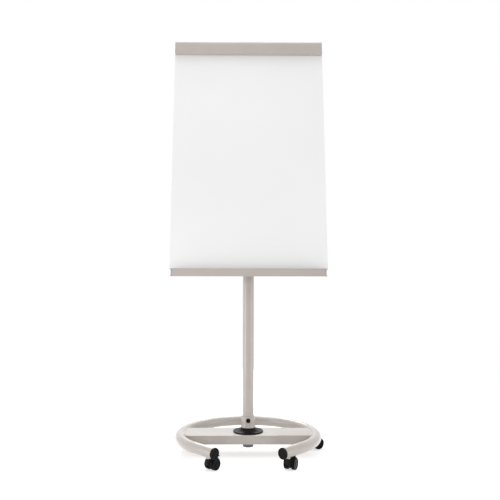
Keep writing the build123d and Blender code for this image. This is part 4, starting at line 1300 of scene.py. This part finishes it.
# %% Screws
def cross_head_screw(head_radius, head_height, shank_radius, shank_length):
    """A screw that stands on the origin, with its head up and its shank down."""
    crown = [(head_radius, 0.45 * head_height)]
    crown += [
        (head_radius * cos(radians(a)), head_height * (0.45 + 0.55 * sin(radians(a))))
        for a in range(12, 90, 13)
    ]
    outline = [(0, -shank_length), (shank_radius, -shank_length), (shank_radius, 0)]
    outline += [(head_radius, 0)] + crown + [(0, head_height)]
    screw = turned("screw", outline, 40)
    for quarter in (0, pi / 2):
        wedge = (head_radius * 1.05, head_radius * 0.24, head_height * 1.3)
        carve(screw, bar(wedge, (0, 0, head_height), quarter))
    return ease(screw, 0.12 * MM, corner=50)


def set_screws(screw, name, places, side):
    """Copies of one screw at places on the board's section; side is where the head looks."""
    out = OUT_OF_FACE * side
    frames = []
    for i, place in enumerate(places):
        driven = 0.7 * i + 0.3
        up = UP_FACE * cos(driven) + Vector((1, 0, 0)) * sin(driven)
        frames.append(frame_at(board_point(*place), up.cross(out), up, out))
    return set_copies(screw, name, frames)


small_screw = cross_head_screw(4, 2.2, 2, 9)
rear_screw = copy_of(small_screw, "rear_screw")
track_places = [(x, 1089.5, 6) for x in (-240, -80, 80, 240)]
tray_places = [(x, 10, TRAY_BACK) for x in (-300, -150, 0, 150, 300)]
board_screws = [
    set_screws(small_screw, "track_screws", track_places, 1),
    set_screws(rear_screw, "tray_screws", tray_places, -1),
]
fit(join(board_screws, "cross_head_screws"), "board_screws")

PIVOT_Z = 1030
pivot_s = (Vector((0, 0, PIVOT_Z)) - BOARD_ORIGIN / MM).dot(UP_FACE)
bracket_places = [(x, pivot_s + s, -19) for x in (-53, 53) for s in (-43, 43)]
large_screw = cross_head_screw(5, 2.5, 2.5, 11)
fit(set_screws(large_screw, "bracket_screw_set", bracket_places, -1), "bracket_screws")

# %% [markdown]
# ## Caps of the tray
#
# A flat moulded cap closes each end of the tray, and two small tabs carry on the lines of
# the beads. The cap follows the level floor of the tray, so its lower edge slants against
# the board.

# %% Tray caps
cap_line = [(38.7, TRAY_TOP), (38.7, tray_floor(38.7))]
cap_line += [(TRAY_BACK, tray_floor(TRAY_BACK)), (TRAY_BACK, TRAY_TOP)]
plug_line = [(38, tray_floor(38) + 2.1), (38, tray_floor(38) + 10)]
plug_line += [(-15, tray_floor(-15) + 10), (-15, tray_floor(-15) + 2.1)]
tab_front = TRAY_FRONT + TRAY_WALL
tab_corners = ((INSIDE_FRONT, 0), (tab_front, 0), (tab_front, BEAD), (INSIDE_FRONT, BEAD))
tray_caps = []
for side in (-1, 1):
    plate = drawn_profile("cap", rounded(cap_line, [1.5, 2, 2, 1.5], 4), 2.95, middle=side * 336.05)
    tray_caps.append(ease(plate, 0.8 * MM, 3, corner=50))
    plug = drawn_profile("plug", plug_line, 3.9, middle=side * 329.2)
    tray_caps.append(ease(plug, 0.5 * MM, corner=50))
    for foot, outer in ((TRAY_TOP - BEAD, 344), (TRAY_FOOT, 342)):
        line = [(n, foot + s) for n, s in tab_corners]
        half = (outer - TRAY_HALF - 0.1) / 2
        tab = drawn_profile("tab", rounded(line, [0.9] * 4, 3), half, middle=side * (outer - half))
        tray_caps.append(ease(tab, 0.5 * MM, corner=50))
fit(join(tray_caps, "moulded_tray_caps"), "tray_end_caps")

# %% [markdown]
# ## Pegs
#
# The paper hangs on two black pegs. Each is a turned pin with a collar that stands on the
# track, on a flat foot that slides in the groove. One is made, and the other is its copy.

# %% Pegs
PEG_PLACE = 240
peg_outline = [(0, 1.8), (4, 1.8), (4, 6.3), (6.5, 6.3), (6.5, 7.8), (4, 7.8), (4, 17), (0, 17)]
peg = smooth(turned("peg", rounded(peg_outline, [0, 0, 0, 0.4, 0.4, 0.6, 1.8, 0], 5), 48))
foot_corners = [(-13, -7.3), (13, -7.3), (13, 7.3), (-13, 7.3)]
foot_line = [(x * MM, y * MM, 1.7 * MM) for x, y in rounded(foot_corners, [2] * 4, 5)]
foot = push(draw("foot", foot_line, True, True), (0, 0, 2.6 * MM))
peg = join([peg, ease(foot, 0.4 * MM, corner=50)], "pad_peg")
for name, side in (("left", -1), ("right", 1)):
    place = frame_at(board_point(side * PEG_PLACE, SLOT_S, 0), (1, 0, 0), UP_FACE, OUT_OF_FACE)
    fit(settle(copy_of(peg, "paper_peg_" + name), place), "pad_peg_" + name)
discard(peg)

# %% [markdown]
# ## Rounding what the model gives
#
# The head of the mast, the tilt bracket and the collar are cast or folded pieces whose
# form the model already gives in full. Modelling them again would only repeat it, so a
# copy of the model's mesh is cleaned and its edges are rounded.

# %% Rounding a copy of a model's piece
def eased_copy(node_name, width, segments=2):
    """A copy of a model's piece, with loose triangles merged and its edges rounded."""
    piece = copy_of(cad_nodes[node_name], node_name + "_eased")
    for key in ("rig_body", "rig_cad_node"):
        if key in piece:
            del piece[key]
    piece.parent = None
    look_only_at(piece)
    bpy.ops.mesh.customdata_custom_splitnormals_clear()
    open_all(piece)
    bpy.ops.mesh.remove_doubles(threshold=MM / 200)
    bpy.ops.mesh.dissolve_limited(angle_limit=radians(1))
    bpy.ops.object.mode_set(mode="OBJECT")
    return fit(ease(piece, width, segments), node_name)


print("ready: rounding a copy of a model's piece")

# %% [markdown]
# ## Mast and its fittings
#
# The mast is a drawn tube with a soft rim, made like the tube of the column. Its head, the
# bracket, the collar and the washers that give the tilt its friction are rounded copies.

# %% Mast and its fittings
mast_line = rounded(tube_section(*span("mast_tube")), [0.5] * 4, 3)
fit(smooth(turned("inner_mast", mast_line, 96)), "mast_tube")
eased_copy("mast_head", 0.9 * MM, 3)
eased_copy("tilt_bracket", 0.7 * MM, 3)
eased_copy("height_collar", 0.9 * MM, 3)
eased_copy("friction_washers", 0.2 * MM)

# %% [markdown]
# ## Knobs
#
# Both clamping knobs are the same moulding: seven lobes, soft valleys for the fingers, a
# shallow dish in the top and a plain neck. The star is drawn once as an outline, and then
# drawn upwards ring by ring, each ring a little wider or narrower than the last.

# %% Star knob
LOBES = 7
KNOB_RADIUS = 25
VALLEY_PLACE = 28
VALLEY_RADIUS = 6.5
reaches = []
for i in range(LOBES * 24):
    angle = 2 * pi * i / (LOBES * 24)
    nearest = (angle + pi / LOBES) % (2 * pi / LOBES) - pi / LOBES
    across = VALLEY_PLACE * sin(nearest)
    reach = KNOB_RADIUS
    if abs(across) < VALLEY_RADIUS:
        reach = min(reach, VALLEY_PLACE * cos(nearest) - sqrt(VALLEY_RADIUS**2 - across**2))
    reaches.append(reach)
star = []
for i, reach in enumerate(reaches):
    soft = sum(reaches[(i + j) % len(reaches)] for j in (-2, -1, 0, 1, 2)) / 5
    angle = 2 * pi * i / len(reaches)
    star.append((soft * cos(angle) * MM, soft * sin(angle) * MM, 4 * MM))
star_knob = draw("star_knob", star, closed=True)
open_all(star_knob)
bpy.ops.transform.resize(value=(0.9, 0.9, 1), center_override=(0, 0, 0))
# Each ring has its rise in millimetres, and its spread against the ring below.
RINGS = [(0.5, 1.06), (0.9, 1.035), (1.6, 1.012), (9.4, 1), (1.6, 0.985), (1.1, 0.965), (0.8, 0.93)]
RINGS += [(0.1, 0.9), (-0.2, 0.93), (-1.2, 0.93), (-0.6, 0.9), (0, 0.55), (0.9, 0.9), (0.6, 0.85)]
for rise, spread in RINGS:
    bpy.ops.mesh.extrude_region_move(TRANSFORM_OT_translate={"value": (0, 0, rise * MM)})
    bpy.ops.transform.resize(value=(spread, spread, 1), center_override=(0, 0, 0))
bpy.ops.mesh.edge_face_add()
bpy.ops.mesh.select_all(action="SELECT")
bpy.ops.mesh.region_to_loop()
bpy.ops.mesh.edge_face_add()
close_outwards()
neck = turned("neck", rounded([(0, 0), (11, 0), (11, 5), (0, 5)], [0, 0.8, 0, 0], 4), 48)
star_knob = join([smooth(star_knob, 50), smooth(neck)], "star_knob")

stud = turned("stud", rounded([(0, -25), (4, -25), (4, 3), (0, 3)], [0, 1, 0, 0], 3), 32)
height_grip = join([copy_of(star_knob, "grip"), stud], "height_star_knob")
settle(height_grip, frame_at((0, 45.3 * MM, 866 * MM), (1, 0, 0), (0, 0, -1), (0, 1, 0)))
fit(height_grip, "height_knob")
tilt_grip = copy_of(star_knob, "tilt_star_knob")
settle(tilt_grip, frame_at((19 * MM, 0, PIVOT_Z * MM), (0, 1, 0), (0, 0, 1), (1, 0, 0)))
fit(tilt_grip, "tilt_knob")
discard(star_knob)

# %% [markdown]
# ## Pivot bolt
#
# The board tilts on a bolt with a six-sided head. The corners of such a head are cut off
# by a cone, so a rod with six corners is intersected with a turned crown.

# %% Pivot bolt
bolt = settle(rod(8 / cos(pi / 6), 6, (0, 0, 3), (0, 0, pi / 6), corners=6))
crown_line = rounded([(0, -2), (8.7, -2), (9.25, 4.9), (7.6, 6), (0, 6)], [0, 0, 0.3, 0.3, 0], 3)
carve(bolt, turned("crown", crown_line, 64), "INTERSECT")
ease(bolt, 0.25 * MM, corner=40)
shank = turned("shank", rounded([(0, -51), (5, -51), (5, 0.5), (0, 0.5)], [0, 1, 0, 0], 3), 48)
bolt = join([bolt, shank], "hex_pivot_bolt")
settle(bolt, frame_at((-18.8 * MM, 0, PIVOT_Z * MM), (0, -1, 0), (0, 0, 1), (-1, 0, 0)))
fit(bolt, "pivot_bolt")

# %% [markdown]
# ## Casters
#
# The casters are ordinary twin-wheel furniture casters. Two stand near the open ends of
# the ring and three along its bend, and each one trails its own way, as casters do after
# the easel has been pushed. So each needs only a spot and a heading.

# %% Places of the casters
TRAIL = 24
WHEEL_RADIUS = span("caster_1_wheel_left")[2] / 2
HUB_OFFSET = 9
BRAKED = (1, 2)
STEM_FROM_BEND = 90 * MM
# Each caster has its spot on the floor, and the way it trails in degrees.
CASTERS = {
    1: (ring_point(-BEND_END, 0) + way_out(-1) * STEM_FROM_BEND, 48),
    2: (ring_point(BEND_END, 0) + way_out(1) * STEM_FROM_BEND, 65),
    3: (ring_point(radians(104), 0), 20),
    4: (ring_point(radians(180), 0), 80),
    5: (ring_point(radians(-108), 0), 5),
}
WORLD_UP = Vector((0, 0, 1))


def heading_of(number):
    """The spot of a caster, the way it trails and the way its axle points."""
    spot, heading = CASTERS[number]
    trails = Vector((cos(radians(heading)), sin(radians(heading)), 0))
    return spot, trails, trails.cross(WORLD_UP)


# %% [markdown]
# ## Wheels
#
# A wheel is turned: it has a tread with two fine grooves, a rounded shoulder, a dished
# face and a small hub. It is made once, and ten copies are set beside the webs of the
# five casters, each with its face outwards.

# %% Wheels
wheel_outline = [(4.1, 0.2), (9, 0.2)]
wheel_outline += rounded([(9, 0.2), (10.2, 3.2), (21.2, 3.2), (21.8, 0.2)], [0, 1, 1, 0], 3)[1:-1]
wheel_outline += [(21.8, 0), (24, 0)] + arc((24, 1), 1, -60, 0, 3)
for groove in (3.2, 11.6):
    cut = [(0, 0), (-0.4, 0.15), (-0.4, 0.65), (0, 0.8)]
    wheel_outline += [(WHEEL_RADIUS + deep, groove + along) for deep, along in cut]
wheel_outline += [(WHEEL_RADIUS, 13.2)] + arc((22.6, 13.4), 2.4, 5, 88, 7)
wheel_outline += rounded(
    [(22, 15.85), (20.6, 15.95), (17.6, 14.4), (10.2, 14.4), (7.6, 15.6), (0, 15.6)],
    [0, 0.8, 1.2, 1.4, 0.9, 0],
    4,
)[1:]
wheel_outline += [(0, 13.8), (4.1, 13.8)]
wheel = smooth(turned("wheel", wheel_outline, 96), 35)
for number in CASTERS:
    spot, trails, axle = heading_of(number)
    for name, side in (("left", -1), ("right", 1)):
        hub = spot + trails * TRAIL * MM + WORLD_UP * WHEEL_RADIUS * MM
        hub += axle * side * HUB_OFFSET * MM
        rolled = copy_of(wheel, f"twin_wheel_{number}_{name}")
        settle(rolled, frame_at(hub, trails * side, WORLD_UP, axle * side))
        fit(rolled, f"caster_{number}_wheel_{name}")
discard(wheel)

# %% [markdown]
# ## Bodies of the casters
#
# A caster's body is one black moulding: an arched hood over both wheels, a web between
# them, and an upright housing that takes the stem. The housing would run into the wheels,
# so their room is cut out of it with two round cutters, as the mould leaves it out. The
# two front casters also have ears for a brake pedal. Each body is made round the stem,
# with its X axis along the trail and its Y axis up, and then set in its place.

# %% Body moulding
WHEEL_HUB = (TRAIL, WHEEL_RADIUS)
WHEEL_ROOM = 25.7
WEB_HALF = 8.6
HOOD_HALF = 20
PEDAL_PIN = (41.5, 51.2)


def side_profile(name, outline, half_width, middle=0, soft=0.5, segments=2):
    """A piece from an outline along the trail and up, pushed along the axle."""
    points = [(x * MM, y * MM, (middle - half_width) * MM) for x, y in outline]
    piece = push(draw(name, points, closed=True, filled=True), (0, 0, 2 * half_width * MM))
    return ease(piece, soft * MM, segments, corner=35)


def caster_body(braked):
    """The moulding of one caster, round its stem."""
    hood_line = arc(WHEEL_HUB, 28.5, 8.07, 171.93, 40)
    hood_line += arc(WHEEL_HUB, WHEEL_ROOM, 171.05, 8.95, 40)
    parts = [side_profile("hood", hood_line, HOOD_HALF, soft=1.1, segments=3)]
    parts.append(side_profile("web", arc(WHEEL_HUB, 20, 0, 350, 35), WEB_HALF))
    neck_line = rounded([(-10.6, 24), (14, 24), (14, 47.4), (-10.6, 47.4)], [3, 0, 0, 1.5], 4)
    parts.append(side_profile("neck", neck_line, WEB_HALF - 0.1))
    housing_corners = [(0, 30), (11, 30), (11, 50), (6.4, 50), (6.4, 48.6), (0, 48.6)]
    housing = turned("housing", rounded(housing_corners, [0, 1.2, 1.6, 0.5, 0, 0], 4), 64)
    settle(housing, frame_at((0, 0, 0), (0, 0, 1), (1, 0, 0), (0, 1, 0)))
    for side in (-1, 1):
        room_middle = (*WHEEL_HUB, side * (WEB_HALF + 8.4))
        carve(housing, rod(WHEEL_ROOM, 16.8, room_middle, corners=96))
    parts.append(ease(housing, 0.4 * MM, corner=50))
    if braked:
        ear_line = arc(PEDAL_PIN, 3, 0, 180, 12) + [(38.5, 47.4), (44.5, 42.2)]
        for side in (-1, 1):
            parts.append(side_profile("ear", ear_line, 1.45, side * 12.85, 0.5))
        parts.append(side_profile("pin", arc(PEDAL_PIN, 1.45, 0, 340, 17), 12, soft=0.2))
    return join(parts, "caster_moulding")


def set_caster_piece(piece, name, number, node_name):
    """A copy of a piece that was made round a stem, set at one caster."""
    spot, trails, axle = heading_of(number)
    fit(settle(copy_of(piece, name), frame_at(spot, trails, WORLD_UP, axle)), node_name)


plain_body = caster_body(False)
braked_body = caster_body(True)
for number in CASTERS:
    body = braked_body if number in BRAKED else plain_body
    set_caster_piece(body, f"caster_moulding_{number}", number, f"caster_{number}_body")
discard(plain_body, braked_body)

# %% [markdown]
# ## Brake pedals
#
# A pedal is pressed with the toe, so its top has small ridges against slipping. They are
# part of the outline, which is pushed across the pedal's width, and the tip is rounded.

# %% Brake pedals
pedal_line = arc(PEDAL_PIN, 3, 95, 300, 14) + [(45.5, 51.3), (53, 51.3), (57.6, 52.4)]
pedal_line += arc((57.6, 53.3), 0.9, -90, 90, 6)
for ridge in (56.3, 54.3, 52.3):
    pedal_line += [(ridge, 54.2), (ridge - 0.3, 53.7), (ridge - 0.9, 53.7), (ridge - 1.2, 54.2)]
pedal = side_profile("pedal", pedal_line + [(44, 54.2)], 11, soft=0.35)
for number in BRAKED:
    set_caster_piece(pedal, f"brake_pedal_{number}", number, f"caster_{number}_brake_lever")
discard(pedal)

# %% [markdown]
# ## Stems and sleeves
#
# Each caster turns on a steel stem with a shoulder, in a steel sleeve that is let into the
# ring. Both are turned parts, made once and set five times.

# %% Stems and sleeves
stem_corners = [(0, 30), (5, 30), (5, 50.3), (7.5, 50.3), (7.5, 53.9), (5, 53.9), (5, 92), (0, 92)]
stem = turned("stem", rounded(stem_corners, [0, 0.8, 0.2, 0.7, 0.7, 0.2, 0.8, 0], 3), 48)
foot, top = span("caster_sleeves")[1:]
sleeve_corners = [(5.05, foot), (8, foot), (8, top), (5.05, top)]
sleeve = turned("sleeve", rounded(sleeve_corners, [0.4, 0.8, 0.4, 0.4], 3), 48)
upright = [frame_at(spot, (1, 0, 0), (0, 1, 0), WORLD_UP) for spot, heading in CASTERS.values()]
fit(set_copies(smooth(stem), "caster_stem_set", upright), "caster_stems")
fit(set_copies(smooth(sleeve), "caster_sleeve_set", upright), "caster_sleeves")
